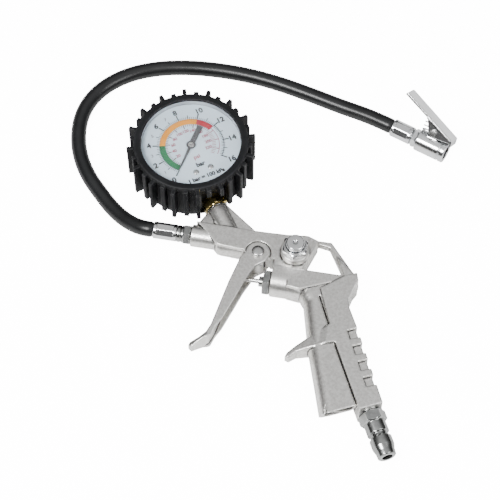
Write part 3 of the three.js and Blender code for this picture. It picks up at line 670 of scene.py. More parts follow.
# ------------------------------------------------------------------ hose
HOSE_R = 4.75
HOSE_ROUTE = [
    (-65, 8.6, 0), (-67.5, 8.6, 0), (-71.8, 9.2, -0.7), (-77.5, 11.4, -2.4), (-85.8, 16.4, -4.6),
    (-94.6, 23.6, -6), (-103.3, 32.3, -6.25), (-111.5, 41.3, -6.25), (-118.2, 51.2, -6.25),
    (-123.2, 62.3, -6.25), (-126, 74, -6.25), (-126.6, 84.5, -6.25), (-124.7, 95.6, -6.25),
    (-119.7, 106.1, -6.25), (-111.8, 115.4, -6.25), (-100.4, 123.6, -6.25), (-85.4, 129.8, -6.25),
    (-67.2, 133.6, -6.25), (-47.9, 134.9, -6.25), (-28.4, 134.1, -6.25), (-8.6, 131.1, -6.25),
    (11.5, 126.3, -6.2), (31.3, 120.7, -5.8), (48.5, 115.7, -4.6), (61.1, 111.3, -4),
    (66.03, 109.44, -4),
]


def smooth_route(points, gap):
    """A centripetal curve through the points, as even steps about gap long."""
    given = [np.array(p, float) for p in points]
    given = [2 * given[0] - given[1]] + given + [2 * given[-1] - given[-2]]
    dense = []
    for p0, p1, p2, p3 in zip(given, given[1:], given[2:], given[3:]):
        knots = [0.0]
        for a, b in ((p0, p1), (p1, p2), (p2, p3)):
            knots.append(knots[-1] + math.sqrt(np.linalg.norm(b - a)))
        t0, t1, t2, t3 = knots
        for t in np.linspace(t1, t2, 24, endpoint=False):
            a1 = (t1 - t) / (t1 - t0) * p0 + (t - t0) / (t1 - t0) * p1
            a2 = (t2 - t) / (t2 - t1) * p1 + (t - t1) / (t2 - t1) * p2
            a3 = (t3 - t) / (t3 - t2) * p2 + (t - t2) / (t3 - t2) * p3
            b1 = (t2 - t) / (t2 - t0) * a1 + (t - t0) / (t2 - t0) * a2
            b2 = (t3 - t) / (t3 - t1) * a2 + (t - t1) / (t3 - t1) * a3
            dense.append((t2 - t) / (t2 - t1) * b1 + (t - t1) / (t2 - t1) * b2)
    dense = np.array(dense + [given[-2]])
    run = np.concatenate([[0], np.cumsum(np.linalg.norm(np.diff(dense, axis=0), axis=1))])
    marks = np.linspace(0, run[-1], int(run[-1] / gap) + 1)
    return np.stack([np.interp(marks, run, dense[:, i]) for i in range(3)], 1), run[-1]


def swept(route, radii, sides=40, capped=True):
    """A round tube along a route, with a radius at each of its points."""
    ahead = np.gradient(route, axis=0)
    ahead /= np.linalg.norm(ahead, axis=1)[:, None]
    side = np.cross(ahead[0], (0, 0, 1.0))
    angles = np.arange(sides) * 2 * math.pi / sides
    vertices = []
    for point, direction, radius in zip(route, ahead, radii):
        side = side - direction * (side @ direction)
        side /= np.linalg.norm(side)
        up = np.cross(direction, side)
        vertices += [point + radius * (math.cos(a) * side + math.sin(a) * up) for a in angles]
    faces = []
    for i in range(len(route) - 1):
        for j in range(sides):
            k = (j + 1) % sides
            low, high = i * sides, (i + 1) * sides
            faces.append((low + j, high + j, high + k, low + k))
    if capped:
        faces.append(list(range(sides)))
        last = (len(route) - 1) * sides
        faces.append([last + j for j in reversed(range(sides))])
    return np.array(vertices), faces


def helix(radius, wire, low, high, turns, steps=28):
    """A wire spring about +Z with closed ends."""
    points = []
    for i in range(turns * steps + 1):
        share = min(max((i - steps / 2) / (steps * (turns - 1)), 0), 1)
        angle = 2 * math.pi * i / steps
        height = low + wire + (high - low - 2 * wire) * share
        points.append((radius * math.cos(angle), radius * math.sin(angle), height))
    route = np.array(points)
    return swept(route, np.full(len(route), wire), sides=12)


def make_hose(pieces_on_it):
    """The hose from the gun to the chuck. The pieces on its far end that it is given are not used.
    """
    route, length = smooth_route(HOSE_ROUTE, 1.5)
    radii = np.full(len(route), HOSE_R)
    for end in (0, -1):
        radii[end] = HOSE_R - 0.5
    vertices, faces = swept(route, radii)
    hose = add_piece("rubber_hose", vertices, faces, "hose_rubber", stands_for=["hose"], sharp=50)


# ------------------------------------------------------------------ body casting
BODY_GRID = ((-46, -101, -11), (91, 38, 14), 0.42)
PLATE_HALF, CHAMBER_HALF, LUG_HALF = 6.75, 9.0, 5.3
GRIP_FRONT_HALF, GRIP_REAR_HALF, EYE_HALF = 8.3, 9.3, 2.5
PIN_HOLE = 2.2
CHAMBER_TOP, CHAMBER_ROUND = -7.5, -14
BARREL = [
    (-39.7, 15.1), (-34, 10.5), (-25.1, 1.9), (-22.9, 1.4), (-8.2, 0.6),
    *arc(0, 0, 7.6, 190, 302, 8), (4, -2.4), (10.3, -2.4), (10.3, -12), (27.4, -12),
    (27.4, -7.5), (34.1, 14.1), (27.2, 16.6), (14.7, 15.2), (-4.1, 14.6),
]
BOSS_WEB = [(-23.8, 30.4), (-4.6, 16.2), (-18, 8), (-30, 18)]
NOSE_WEB = [(-34.6, 24.5), (-39.5, 14.6), (-30, 10), (-26, 18)]
EYE_RIM = [(26, 8), (27.2, 16.6), (41.6, 16.8), (59.6, -4.2), (61, -9.6), (52, -12), (26, -12)]
EYE_WINDOW = [(34.1, 14.1), (41, 13), (53, -7.2), (27.4, -7.5)]
EYE_ROOT = [(46.5, 6.5), (59.6, -4.2), (61, -9.6), (53, -9.6), (50, -2)]
CHAMBER_FLAT = [(20, CHAMBER_TOP), (54, CHAMBER_TOP), (55, -8.8), (28, -21), (20, -20)]
GRIP_END_FRONT, GRIP_END_REAR, GRIP_END_LEAN = (51.9, -97.3), (69.5, -88.8), 16
GRIP_FRONT = [
    (27.4, -9), (27.4, -20), (29, -24.5), (31.6, -28), (38.6, -55.7), (45.6, -77.3),
    GRIP_END_FRONT, (54.3, -106), (74, -98), (76, -86), (58, -30), (54, -8),
]
GRIP_SHOULDER = [(37.5, -14), (54, -12), (58, -30), (52.9, -51.1), (46, -40), (39.5, -26)]
STRAP_TOP, STRAP_END = (64.1, -39), (85.3, -84)
GRIP_REAR = [
    (39.8, -18), (48.6, -40.3), (52.9, -51.1), (72.9, -90.4), STRAP_END, STRAP_TOP,
    (58.3, -27.8), (56.9, -22.8), (58.8, -13.9), (61, -9.6), (59.4, -4.4), (53, -7.3),
]
NOTCHES, NOTCH_PITCH, FIRST_NOTCH = 4, 10.3, 1.3
HORN = [
    (26.1, -62.5), (27, -59.8), (31.1, -55.3), (36.9, -50.1), (44.1, -44), (49, -39.5),
    (56, -44), (54, -51), (45.5, -54.2), (37.8, -57), (32.3, -59.4), (28.5, -63.2),
]
GRIP_CORE = [
    (37, -32), (43.2, -56), (48.6, -73), (54.8, -93.4), (56, -102), (74, -98), (71.8, -91),
    (49.6, -46.5), (44.6, -34),
]
GRIP_MOUTH = [(53.4, -89), (54.2, -94.2), (56, -102), (74, -98), (71.5, -90.5), (69, -85.5)]
SEAM_LINES = [((40.4, -22.6), (48.2, -39.6)), ((53.6, -51.6), (72.1, -89.0))]
SEAM_WIDTH, SEAM_DEPTH = 0.9, 1.7


def line_turn(start, end):
    """Turns +X to the line from one point to another, and gives the line's direction."""
    line = Vector((end[0] - start[0], end[1] - start[1], 0)).normalized()
    return turn_about_z(math.atan2(line.y, line.x)), line


def both_sides(inner, outer):
    """The two ranges of height between two distances from the middle plane."""
    return (-outer, -inner), (inner, outer)


def horn():
    """The finger horn, thinner towards its tip."""
    def distance(x, y, z):
        half = np.clip(3.4 + 0.28 * (x - 27), 3.4, GRIP_REAR_HALF)
        return rounded(outline_distance(x, y, HORN), 0.96 * (np.abs(z) - half), 0.9)
    return distance, box_of(HORN, -GRIP_REAR_HALF, GRIP_REAR_HALF)


def chamber():
    """The valve chamber: flat sides above, a half round below."""
    def distance(x, y, z):
        lower = np.hypot(np.maximum(CHAMBER_ROUND - y, 0), z) - CHAMBER_HALF
        upper = np.maximum(np.abs(z) - CHAMBER_HALF, y - CHAMBER_TOP)
        side = np.where(y > CHAMBER_ROUND, upper, lower)
        return rounded(side, np.abs(x - 20.5) - 10.2, 0.5)
    return distance, [(10.3, 30.7), (-23, CHAMBER_TOP), (-CHAMBER_HALF, CHAMBER_HALF)]


def seam(start, end):
    """A narrow groove on both sides of the grip, in front of its raised rear part."""
    line = np.array(end) - start
    across = SEAM_WIDTH * np.array([line[1], -line[0]]) / np.linalg.norm(line)
    strip = [tuple(p) for p in (start, end, end + across, start + across)]
    floor = GRIP_FRONT_HALF - SEAM_DEPTH

    def distance(x, y, z):
        return np.maximum(outline_distance(x, y, strip), floor - np.abs(z))
    return distance, box_of(strip, -10, 10)


def join_barrel(cast):
    """The flat barrel with its hose nose, gauge boss, webs and valve boss."""
    cast.join(slab(BARREL, -PLATE_HALF, PLATE_HALF, 0.35))
    cast.join(bar(OUTLET_AXIS, X_WAY, -41.5, -14, 6.6, 0.4))
    cast.join(bar((0, 6.2, 0), X_WAY, -26, -7, 6.6, 2.5))
    cast.join(bar(BOSS_TOP, BOSS_DOWN, 0, 27, 6.5, 0.35))
    cast.join(slab(BOSS_WEB, -4.5, 4.5, 0.4), 0.3)
    cast.join(slab(NOSE_WEB, -3.2, 3.2, 0.4), 0.3)
    cast.join(bar(BLEED_AXIS, Z_WAY, 5, 12, 8.4, 0.5), 0.8)


def join_hanging_eye(cast):
    """The thin loop behind the barrel, thicker where it runs into the grip."""
    cast.join(slab(EYE_RIM, -EYE_HALF, EYE_HALF, 0.6), 0.5)
    cast.join(slab(EYE_ROOT, -5, 5, 1.2), 1.2)


def join_grip_front(cast):
    """The grip's round front, cut off by an end that leans back underneath."""
    grip = Casting(*BODY_GRID)
    grip.join(slab(GRIP_FRONT, -GRIP_FRONT_HALF, GRIP_FRONT_HALF, 7.4))
    grip.join(slab(GRIP_SHOULDER, -GRIP_FRONT_HALF, GRIP_FRONT_HALF, 0.6))
    turn = line_turn(GRIP_END_FRONT, GRIP_END_REAR)[0]
    lean = np.array(Matrix.Rotation(math.radians(GRIP_END_LEAN), 3, "X"))
    grip.cut(cube((-20, -20, -40), (50, 0, 40), turn @ lean, (*GRIP_END_FRONT, GRIP_FRONT_HALF), 0))
    cast.field = np.minimum(cast.field, grip.field)


def cut_trigger_seats(cast):
    """Flat seats on both sides for the trigger's ears."""
    for low, high in both_sides(LUG_HALF, LUG_HALF + 8):
        cast.cut(bar((0, 0, 0), Z_WAY, low, high, 7.8, 0), 0.2)
        cast.cut(cube((-11, -12, low), (4, -0.35, high), edge=0), 0.2)


def cut_bores(cast):
    """The bores for the pin, hose nipple, gauge stem, valves and inlet plug."""
    for start, direction, low, high, radius in (
            ((0, 0, 0), Z_WAY, -14, 14, PIN_HOLE), (OUTLET_AXIS, X_WAY, -44, -31.5, 4.5),
            (BOSS_TOP, BOSS_DOWN, -3, 10, 4.9), (BLEED_AXIS, Z_WAY, 3, 16, 5.1),
            (VALVE_AXIS, X_WAY, 8, 40, 5.8), (INLET_FACE, GRIP_DOWN, -12, 3, 6.1)):
        cast.cut(bar(start, direction, low, high, radius, 0), 0.3)
    cast.cut(bar(INLET_FACE, GRIP_DOWN, -70, 3, 3.5, 0))


def cut_notches(cast):
    """Square notches down the grip's back: a shallow one across, deeper at the sides."""
    turn, strap = line_turn(STRAP_TOP, STRAP_END)
    for i in range(NOTCHES):
        reach = FIRST_NOTCH + NOTCH_PITCH * i
        foot = (STRAP_TOP[0] + reach * strap.x, STRAP_TOP[1] + reach * strap.y, 0)
        for low, high in both_sides(GRIP_REAR_HALF - 2, GRIP_REAR_HALF + 3):
            cast.cut(cube((0, -6.2, low), (6, 3, high), turn, foot, 0.2), 0.25)
        cast.cut(cube((0, -0.9, -12), (6, 3, 12), turn, foot, 0.2), 0.4)


def make_body():
    """One die casting: barrel, bosses, valve chamber, grip, finger horn and hanging eye."""
    cast = Casting(*BODY_GRID)
    join_barrel(cast)
    join_hanging_eye(cast)
    join_grip_front(cast)
    cast.join(slab(GRIP_REAR, -GRIP_REAR_HALF, GRIP_REAR_HALF, 0.45))
    cast.join(slab(CHAMBER_FLAT, -CHAMBER_HALF, CHAMBER_HALF, 0.45))
    cast.join(chamber())
    cast.join(horn())
    for start, end in SEAM_LINES:
        cast.cut(seam(start, end), 0.2)
    cut_trigger_seats(cast)
    cast.cut(slab(EYE_WINDOW, -14, 14, 0), 0.8)
    cut_bores(cast)
    cast.cut(slab(GRIP_CORE, -6.1, 6.1, 1.2), 0.3)
    cast.cut(slab(GRIP_MOUTH, -7.2, 7.2, 1), 0.2)
    cut_notches(cast)
    add_piece("body_shell", *cast.surface(), "cast_aluminium", stands_for=["body_casting"],
              sharp=0)


# ------------------------------------------------------------------ trigger
TRIGGER = [
    *arc(0, 0, 7.2, 0, 184, 14), (-9.6, -4.1), (-13.6, -21.8), (-15.6, -33.6), (-18.6, -51.3),
    (-20.5, -56.2), (-23.7, -59.2), (-28.9, -62.8), (-29.4, -64.8), (-27.4, -65.8),
    (-21.8, -60.8), (-17.8, -58.6), (-16.2, -53.1), (-13.2, -46.8), (-8.5, -32.4),
    (-5.2, -21.6), (0, -9.1), (5.2, -5),
]
TRIGGER_CHANNEL = [
    (-14, 12), (-14, 0), (-9.2, -3.7), (-7.7, -4.4), (-11.7, -22.2), (-13.7, -33.9),
    (-16.8, -51.8), (-18.8, -57.4), (-21.9, -61.2), (-10, -70), (10, -30), (12, 12),
]


TRIGGER_HALF, TIP_HALF, CHANNEL_HALF = 7.5, 2.4, 5.6


def trigger_blank():
    """The trigger's outline, narrowing towards the curled tip."""
    def distance(x, y, z):
        half = np.clip(TRIGGER_HALF + 0.49 * (x + 19.5), TIP_HALF, TRIGGER_HALF)
        return rounded(outline_distance(x, y, TRIGGER), 0.9 * (np.abs(z) - half), 0.6)
    return distance, box_of(TRIGGER, -TRIGGER_HALF, TRIGGER_HALF)


def make_trigger():
    """A channel-shaped lever with two ears round the pivot and a curled tip."""
    cast = Casting((-31, -70, -9), (9, 9, 9), 0.3)
    cast.join(trigger_blank())
    cast.cut(slab(TRIGGER_CHANNEL, -CHANNEL_HALF, CHANNEL_HALF, 0.3), 0.6)
    cast.cut(bar((0, 0, 0), Z_WAY, -12, 12, PIN_HOLE, 0), 0.2)
    add_piece("trigger_lever", *cast.surface(), "cast_aluminium", "trigger", ["trigger"], sharp=0)


def make_trigger_pin():
    """The trigger's headed pin and the clip on its other end."""
    pin = turned([(0, -9.9), (1.9, -9.9), (1.9, 7.8), (3.8, 7.8), (3.8, 8.8), (3.2, 9.4),
                  (1.9, 9.8), (0, 9.9)], radius=0.4)
    clip = turned([(2.15, -8.9), (4, -8.9), (4, -7.9), (2.15, -7.9)], radius=0.2, closed=True)
    add_piece("pivot_pin", *pin, "nickel_plate", stands_for=["trigger_pin"])
    add_piece("pivot_clip", *clip, "spring_steel", stands_for=["pin_clip"])


# ------------------------------------------------------------------ valves in the body
def make_inflation_valve():
    """The gland nut in front of the chamber, and the push pin through it."""
    nut = turned([
        (1.65, 3.2), (3.1, 3.2), (3.1, 5.7), *hexagon(14, 5.7, 10), (5.5, 10), (5.5, 18.6),
        (1.65, 18.6),
    ], closed=True)
    pin = turned([(0, -9.75), (0.8, -9.6), (1.35, -9), (1.35, 27.1), (4.2, 27.1),
                  (4.2, 28.6), (0, 28.6)])
    add_piece("gland_hexagon", *on_valve(nut), "grey_steel", stands_for=["gland_nut"])
    add_piece("plunger", *on_valve(pin), "nickel_plate", "push_pin", ["push_pin"])


def make_bleed_valve():
    """The deflation valve's nut and button."""
    nut = turned([
        (1.9, 3.3), (4.8, 3.3), (4.8, 12.3), *hexagon(14, 12.3, 16), (6.4, 16), (6.4, 17),
        (5.8, 17), (5.8, 13.6), (3.4, 13.6), (3.4, 5), (1.9, 5),
    ], closed=True)
    button = turned([
        (0, 2), (1.4, 2), (1.4, 16.2), (5.5, 16.2), (5.5, 19.4), (4.9, 20), (1.4, 20),
        (0.9, 19.5), (0, 19.4),
    ], radius=0.3)
    add_piece("bleed_hexagon", *on_bleed(nut), "chrome_plate", stands_for=["bleed_nut"])
    add_piece("bleed_push_button", *on_bleed(button), "chrome_plate", "bleed_button",
              ["bleed_button"])


def make_inlet():
    """The air line's plug at the end of the grip, with its washer."""
    plug = turned([
        (3.1, -9.5), (5.8, -9.5), (5.8, 1.2), *hexagon(14, 1.2, 7.4), (6.3, 7.8), (6.4, 14),
        (5.3, 14.5), (5.3, 16.1), (6.5, 17.2), (6.5, 22), (5.6, 25), (5.4, 28.1), (4.8, 28.6),
        (3.1, 28.6),
    ], closed=True)
    washer = turned([(6, 0.3), (7, 0.3), (7, 0.9), (6, 0.9)], radius=0.15, closed=True)
    add_piece("inlet_connector", *on_inlet(plug), "grey_steel", stands_for=["inlet_plug"])
    add_piece("inlet_ring", *on_inlet(washer), "grey_steel", stands_for=["inlet_washer"])


def crimped(outer, inner, low, high):
    """A ferrule pressed into eight flats between two plain ends."""
    flats = 2 * outer - 0.55
    return turned([
        (inner, low), (outer - 0.2, low), (outer, low + 0.5), (outer, low + 1.6),
        (outer, low + 2.4, flats), (outer, high - 2.6, flats), (outer, high - 1.8),
        (outer, high - 0.5), (outer - 0.3, high), (inner, high),
    ], closed=True, facets=8, sides=128)


def make_outlet():
    """The hose nipple in the barrel's nose, and the ferrule over the hose's end."""
    nipple = turned([
        (1.5, 33), (4.2, 33), (4.2, 41.8), *hexagon(11, 41.8, 46.4), (5.1, 46.4), (5.1, 47.3),
        (4.6, 47.8), (5.1, 48.3), (5.1, 50), (2.6, 50), (2.6, 64.2), (1.5, 64.2),
    ], closed=True)
    add_piece("outlet_nipple", *on_outlet(nipple), "grey_steel", stands_for=["hose_nipple"])
    add_piece("outlet_ferrule", *on_outlet(crimped(5.1, 2.9, 50.3, 64.6)), "chrome_plate",
              stands_for=["hose_ferrule"])


# ------------------------------------------------------------------ chuck
LEVER_STRIP = [
    (1.4, 25.6), (2.4, 25.9), (38.9, 9.6), (39.2, 5.6), (38.1, 5.6), (37.9, 8.7), (0.9, 24.6),
]
LEVER_CHEEK = [(19, 17.4), (23.2, 8.4), (26, 6.6), (37.9, 7.6), (38.2, 9.3)]


LEVER_SPRING_FOOT = (19.6, 0, 7.3)
LEVER_SPRING_TOP = 15.4
LEVER_HALF, CHEEK = 6.4, 1.3
LEVER_PIN_HOLE = 1.7


def make_chuck():
    """The clip-on chuck on the hose's far end. Its pieces are returned by name."""
    ferrule = chuck_round(crimped(5.6, 2.9, 0, 13.4))
    nipple = turned([
        (1.5, 0.4), (2.6, 0.4), (2.6, 13.7), (4.8, 13.7), *hexagon(10.6, 14, 17.2), (4, 17.2),
        (4, 22.6), (1.5, 22.6),
    ], closed=True)
    add_piece("chuck_collar", *ferrule, "chrome_plate", stands_for=["chuck_ferrule"])
    add_piece("chuck_stem", *chuck_round(nipple), "chrome_plate", stands_for=["chuck_nipple"])
    make_chuck_body()
    make_chuck_lever()
    pin = turned([(0, -7.8), (2.2, -7.8), (2.2, -6.7), (1.4, -6.7), (1.4, 7.2), (0, 7.2)])
    pin = on_chuck(moved(pin, along(Y_WAY), CHUCK_PIN))
    add_piece("lever_rivet", *pin, "nickel_plate", stands_for=["lever_pin"])
    spring = helix(1.9, 0.35, 0, LEVER_SPRING_TOP - LEVER_SPRING_FOOT[2], 4)
    coil = add_piece("lever_coil", *on_chuck(moved(spring, shift=LEVER_SPRING_FOOT)),
                     "spring_steel", stands_for=["lever_spring"])
    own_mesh(coil)
    return ["chuck_collar", "chuck_stem", "chuck_head", "chuck_thumb_lever", "lever_rivet",
            "lever_coil", "chuck_core_pin", "chuck_seal"]


def make_chuck_body():
    """A round body with a lug for the lever, a groove round its mouth and a stepped bore."""
    cast = Casting((16, -9, -9), (39, 9, 15), 0.25)
    cast.join(bar((0, 0, 0), X_WAY, 17.5, 37, 7, 0.6))
    cast.join(cube((22.6, -4.6, 3), (29.4, 4.6, 9.5), edge=0.3), 0.6)
    cast.join(bar(CHUCK_PIN, Y_WAY, -4.6, 4.6, 3.3, 0.3), 0.2)
    groove = spun([(6.3, 33.2), (9, 32.9), (9, 34.2), (6.3, 33.9)])
    cast.cut(laid_along_x(groove), 0.2)
    cast.cut(bar((0, 0, 0), X_WAY, 15, 23, 4.3, 0), 0.2)
    cast.cut(bar((0, 0, 0), X_WAY, 22, 26, 2, 0))
    cast.cut(bar((0, 0, 0), X_WAY, 25.2, 40, 4.5, 0), 0.3)
    cast.cut(bar(CHUCK_PIN, Y_WAY, -9, 9, LEVER_PIN_HOLE, 0), 0.2)
    add_piece("chuck_head", *on_chuck(cast.surface()), "chrome_plate", stands_for=["chuck_body"],
              sharp=0)


def make_chuck_lever():
    """A bent strip with two cheeks round the lug."""
    cast = Casting((-1, -8, 4), (41, 8, 28), 0.22)
    cast.join(upright(slab(LEVER_STRIP, -LEVER_HALF, LEVER_HALF, 0.35)))
    for low, high in both_sides(LEVER_HALF - CHEEK, LEVER_HALF):
        cast.join(upright(slab(LEVER_CHEEK, low, high, 0.3)), 0.5)
    cast.cut(bar(CHUCK_PIN, Y_WAY, -9, 9, LEVER_PIN_HOLE, 0), 0.2)
    add_piece("chuck_thumb_lever", *on_chuck(cast.surface()), "chrome_plate", "chuck_lever",
              ["chuck_lever"], sharp=0)


# ------------------------------------------------------------------ gauge
BOOT_WALL = [
    (31.7, -11), (32.4, -10.8), (33.8, -6), (33.4, 16.5), (34.6, 17.2), (34.8, 20.2),
    (34.3, 20.9), (33.9, 21), (30.5, 21), (30.2, 20.7), (30.2, 20.5), (31.7, 20.4),
]
BOOT_BACK = [(0, -11), (32.4, -11), (32.4, -9.6), (0, -9.6)]
BOOT_RIBS, RIB_ROOT, RIB_BACK, RIB_FRONT = 32, 32, -6, 20
TALL_RIB, SHORT_RIB = (39.05, 1.2), (36.9, 1.5)


def make_boot():
    """The ribbed rubber boot: tall and short ribs by turns, a plain lip and a stem cut-out."""
    cast = Casting((-41, -41, -12), (41, 41, 22.5), 0.38)
    cast.join(spun(BOOT_WALL))
    cast.join(spun(BOOT_BACK), 0.3)
    for i in range(BOOT_RIBS):
        turn = turn_about_z(2 * math.pi * (i + 0.5) / BOOT_RIBS)
        tip, half = SHORT_RIB if i % 2 else TALL_RIB
        cast.join(cube((RIB_ROOT, -half, RIB_BACK), (tip, half, RIB_FRONT), turn, edge=0.25), 0.2)
    cast.cut(cube((-8.7, -46, -8.7), (8.7, -28, 12.5), edge=0), 0.3)
    add_piece("rubber_boot", *on_gauge(cast.surface()), "boot_rubber",
              stands_for=["gauge_boot"], sharp=0)


def make_gauge_stem():
    """The brass connector from the movement's socket to the gun's boss, and its washer."""
    stem = turned([
        (1.8, 26), (5.5, 26), (5.5, 31.4), *hexagon(13.6, 31.4, STEM_REACH - 1.2),
        (4.6, STEM_REACH - 1.2), (4.6, STEM_REACH + 8.5), (1.8, STEM_REACH + 8.5),
    ], closed=True)
    low, high = STEM_REACH - 0.9, STEM_REACH - 0.3
    washer = turned([(4.9, low), (6.6, low), (6.6, high), (4.9, high)], radius=0.15, closed=True)
    socket = turned([(0, 18.6), (5.2, 18.6), (5.2, 27), (0, 27)])
    foot = join_meshes(stem, socket)
    add_piece("brass_stem", *on_gauge(moved(foot, TURN_TO_FOOT)), "brass",
              stands_for=["gauge_connector"])
    add_piece("stem_washer", *on_gauge(moved(washer, TURN_TO_FOOT)), "grey_steel",
              stands_for=["gauge_washer"])


def make_case_and_lens():
    """The black case, its grey inner wall and the clear pane."""
    case = turned([(0, -9.3), (30.3, -9.3), (31.3, -8.3), (31.3, 18.3), (30.3, 18.3),
                   (30.3, -8.3), (0, -8.3)], sides=128)
    lens = turned([(0, 18.6), (31.3, 18.6), (31.3, 19.8), (30.6, 20.1), (0, 20.1)], sides=128)
    wall = turned([(29.9, 15.3), (30.2, 15.3), (30.2, 18.5), (29.9, 18.5)], sides=128,
                  radius=0.05, closed=True)
    add_piece("case_cup", *on_gauge(case), "case_paint", stands_for=["gauge_case"])
    add_piece("case_inner_wall", *on_gauge(wall), "bezel_grey")
    pane = add_piece("window_pane", *on_gauge(lens), "case_paint", stands_for=["gauge_lens"])
    pane.data.materials.clear()
    pane.data.materials.append(LENS_PANE)


# ------------------------------------------------------------------ dial print
BAR_FULL, PSI_FULL, SWEEP = 16, 232, 270
BAND_END = 12
BAND_HEIGHT, INK_HEIGHT = DIAL_Z + 0.03, DIAL_Z + 0.06


def scale_angle(value, full):
    """Clockwise from the top of the dial, in radians."""
    return math.radians(SWEEP * value / full - SWEEP / 2)


def on_dial(radius, angle):
    """A point at a clockwise angle from the top of the dial."""
    return radius * math.sin(angle), radius * math.cos(angle)


def ring_part(inner, outer, start, end, height=INK_HEIGHT):
    """A flat part of a ring between two angles."""
    steps = max(int((end - start) / math.radians(2)), 1)
    vertices = []
    for i in range(steps + 1):
        angle = start + (end - start) * i / steps
        for radius in (inner, outer):
            vertices.append((*on_dial(radius, angle), height))
    faces = [(2 * i, 2 * i + 1, 2 * i + 3, 2 * i + 2) for i in range(steps)]
    return np.array(vertices), faces


def tick(angle, inner, outer, width):
    """A short printed line that points to the middle of the dial."""
    half = width / (inner + outer)
    return ring_part(inner, outer, angle - half, angle + half)


def lettering(text, size, x, y, weight):
    """Printed text as a flat mesh, centred on a point."""
    curve = bpy.data.curves.new("print", "FONT")
    curve.body, curve.size, curve.offset = text, size, weight
    curve.align_x, curve.align_y = "CENTER", "CENTER"
    curve.resolution_u = 4
    holder = bpy.data.objects.new("print", curve)
    mesh = bpy.data.meshes.new_from_object(holder)
    points = np.array([v.co for v in mesh.vertices]) + (x, y, INK_HEIGHT)
    faces = [list(face.vertices) for face in mesh.polygons]
    bpy.data.objects.remove(holder)
    bpy.data.curves.remove(curve)
    bpy.data.meshes.remove(mesh)
    return points, faces


def numbers(values, full, radius, size, weight):
    """Numbers round the dial, centred on a ring."""
    made = []
    for value in values:
        x, y = on_dial(radius, scale_angle(value, full))
        made.append(lettering(str(value), size, x, y, weight))
    return made


def add_print(name, parts, finish):
    """Printed parts as one piece on the dial."""
    add_piece(name, *on_gauge(join_meshes(*parts)), finish, sharp=0)


def make_bands():
    """The coloured bands between the two scales."""
    for name, start, end in (("green", 0, 4), ("amber", 4, 10), ("red", 10, BAND_END)):
        band = ring_part(15.3, 19, scale_angle(start, BAR_FULL), scale_angle(end, BAR_FULL),
                         BAND_HEIGHT)
        add_print("dial_band_" + name, [band], "band_" + name)


def make_bar_scale():
    """The outer scale: a tick each 0.2 bar, longer each 1 and 2 bar, and its numbers."""
    band_end, full = scale_angle(BAND_END, BAR_FULL), scale_angle(BAR_FULL, BAR_FULL)
    black = [ring_part(19.5, 19.95, band_end, full)]
    for i in range(BAR_FULL * 5 + 1):
        angle = scale_angle(i / 5, BAR_FULL)
        if i % 10 == 0:
            black.append(tick(angle, 19, 23.1, 0.75))
        elif i % 5 == 0:
            black.append(tick(angle, 19, 21.8, 0.5))
        else:
            black.append(tick(angle, 18.3, 20.5, 0.34))
    black += numbers((0, BAR_FULL), BAR_FULL, 26.2, 4.8, 0.2)
    black += numbers(range(2, BAR_FULL, 2), BAR_FULL, 25.2, 4.8, 0.2)
    black.append(lettering("bar", 4.1, 0, -14.4, 0.19))
    black.append(lettering("1 bar = 100 kPa", 3.6, 0, -23.4, 0.19))
    add_print("dial_bar_scale", black, "ink_black")
    add_print("dial_odd_numbers", numbers(range(1, 8, 2), BAR_FULL, 24.2, 2.8, 0.1), "ink_grey")


def make_psi_scale():
    """The inner scale: a tick each 4 psi, longer each 20 psi, and its numbers."""
    brown, rose = [], []
    band_end = scale_angle(BAND_END, BAR_FULL)
    for value in range(0, PSI_FULL + 1, 4):
        angle = scale_angle(value, PSI_FULL)
        major = value % 20 == 0
        if angle < band_end:
            brown.append(tick(angle, 12.4 if major else 13.9, 15.3, 0.6 if major else 0.4))
        else:
            rose.append(tick(angle, 12.6, 17 if major else 15.0, 0.5 if major else 0.34))
    rose.append(ring_part(16.8, 17.15, band_end, scale_angle(PSI_FULL, PSI_FULL)))
    rose += numbers(range(20, 221, 20), PSI_FULL, 10.6, 2.7, 0.1)
    rose.append(lettering("psi", 3.8, 0, -8.8, 0.09))
    add_print("dial_psi_scale", rose, "ink_rose")
    add_print("dial_psi_ticks", brown, "ink_brown")


def make_dial():
    """The enamelled dial and all its print."""
    plate = turned([(0, DIAL_Z - 0.6), (29.8, DIAL_Z - 0.6), (29.8, DIAL_Z), (0, DIAL_Z)],
                   sides=128, radius=0.1)
    add_piece("dial_disc", *on_gauge(plate), "dial_enamel", stands_for=["dial_plate"])
    make_bands()
    make_bar_scale()
    make_psi_scale()


def make_dial_screws():
    """The two screws that hold the dial on the movement."""
    for name, x in (("left", -4.7), ("right", 4.7)):
        screw = turned([(0, 12.6), (0.8, 12.6), (0.8, 15.4), (1.8, 15.4), (1.75, 15.9),
                        (1.1, 16.25), (0, 16.3)], sides=48, radius=0.15)
        screw = on_gauge(moved(screw, shift=(x, -18.8, 0)))
        add_piece("dial_screw_head_" + name, *screw, "nickel_plate",
                  stands_for=["dial_screw_" + name])


def flat_blade(outline, low, high):
    """A thin plate with a given outline."""
    count = len(outline)
    points = [(x, y, low) for x, y in outline] + [(x, y, high) for x, y in outline]
    faces = [list(range(count))[::-1], list(range(count, 2 * count))]
    faces += [(i, (i + 1) % count, (i + 1) % count + count, i + count) for i in range(count)]
    return np.array(points), faces


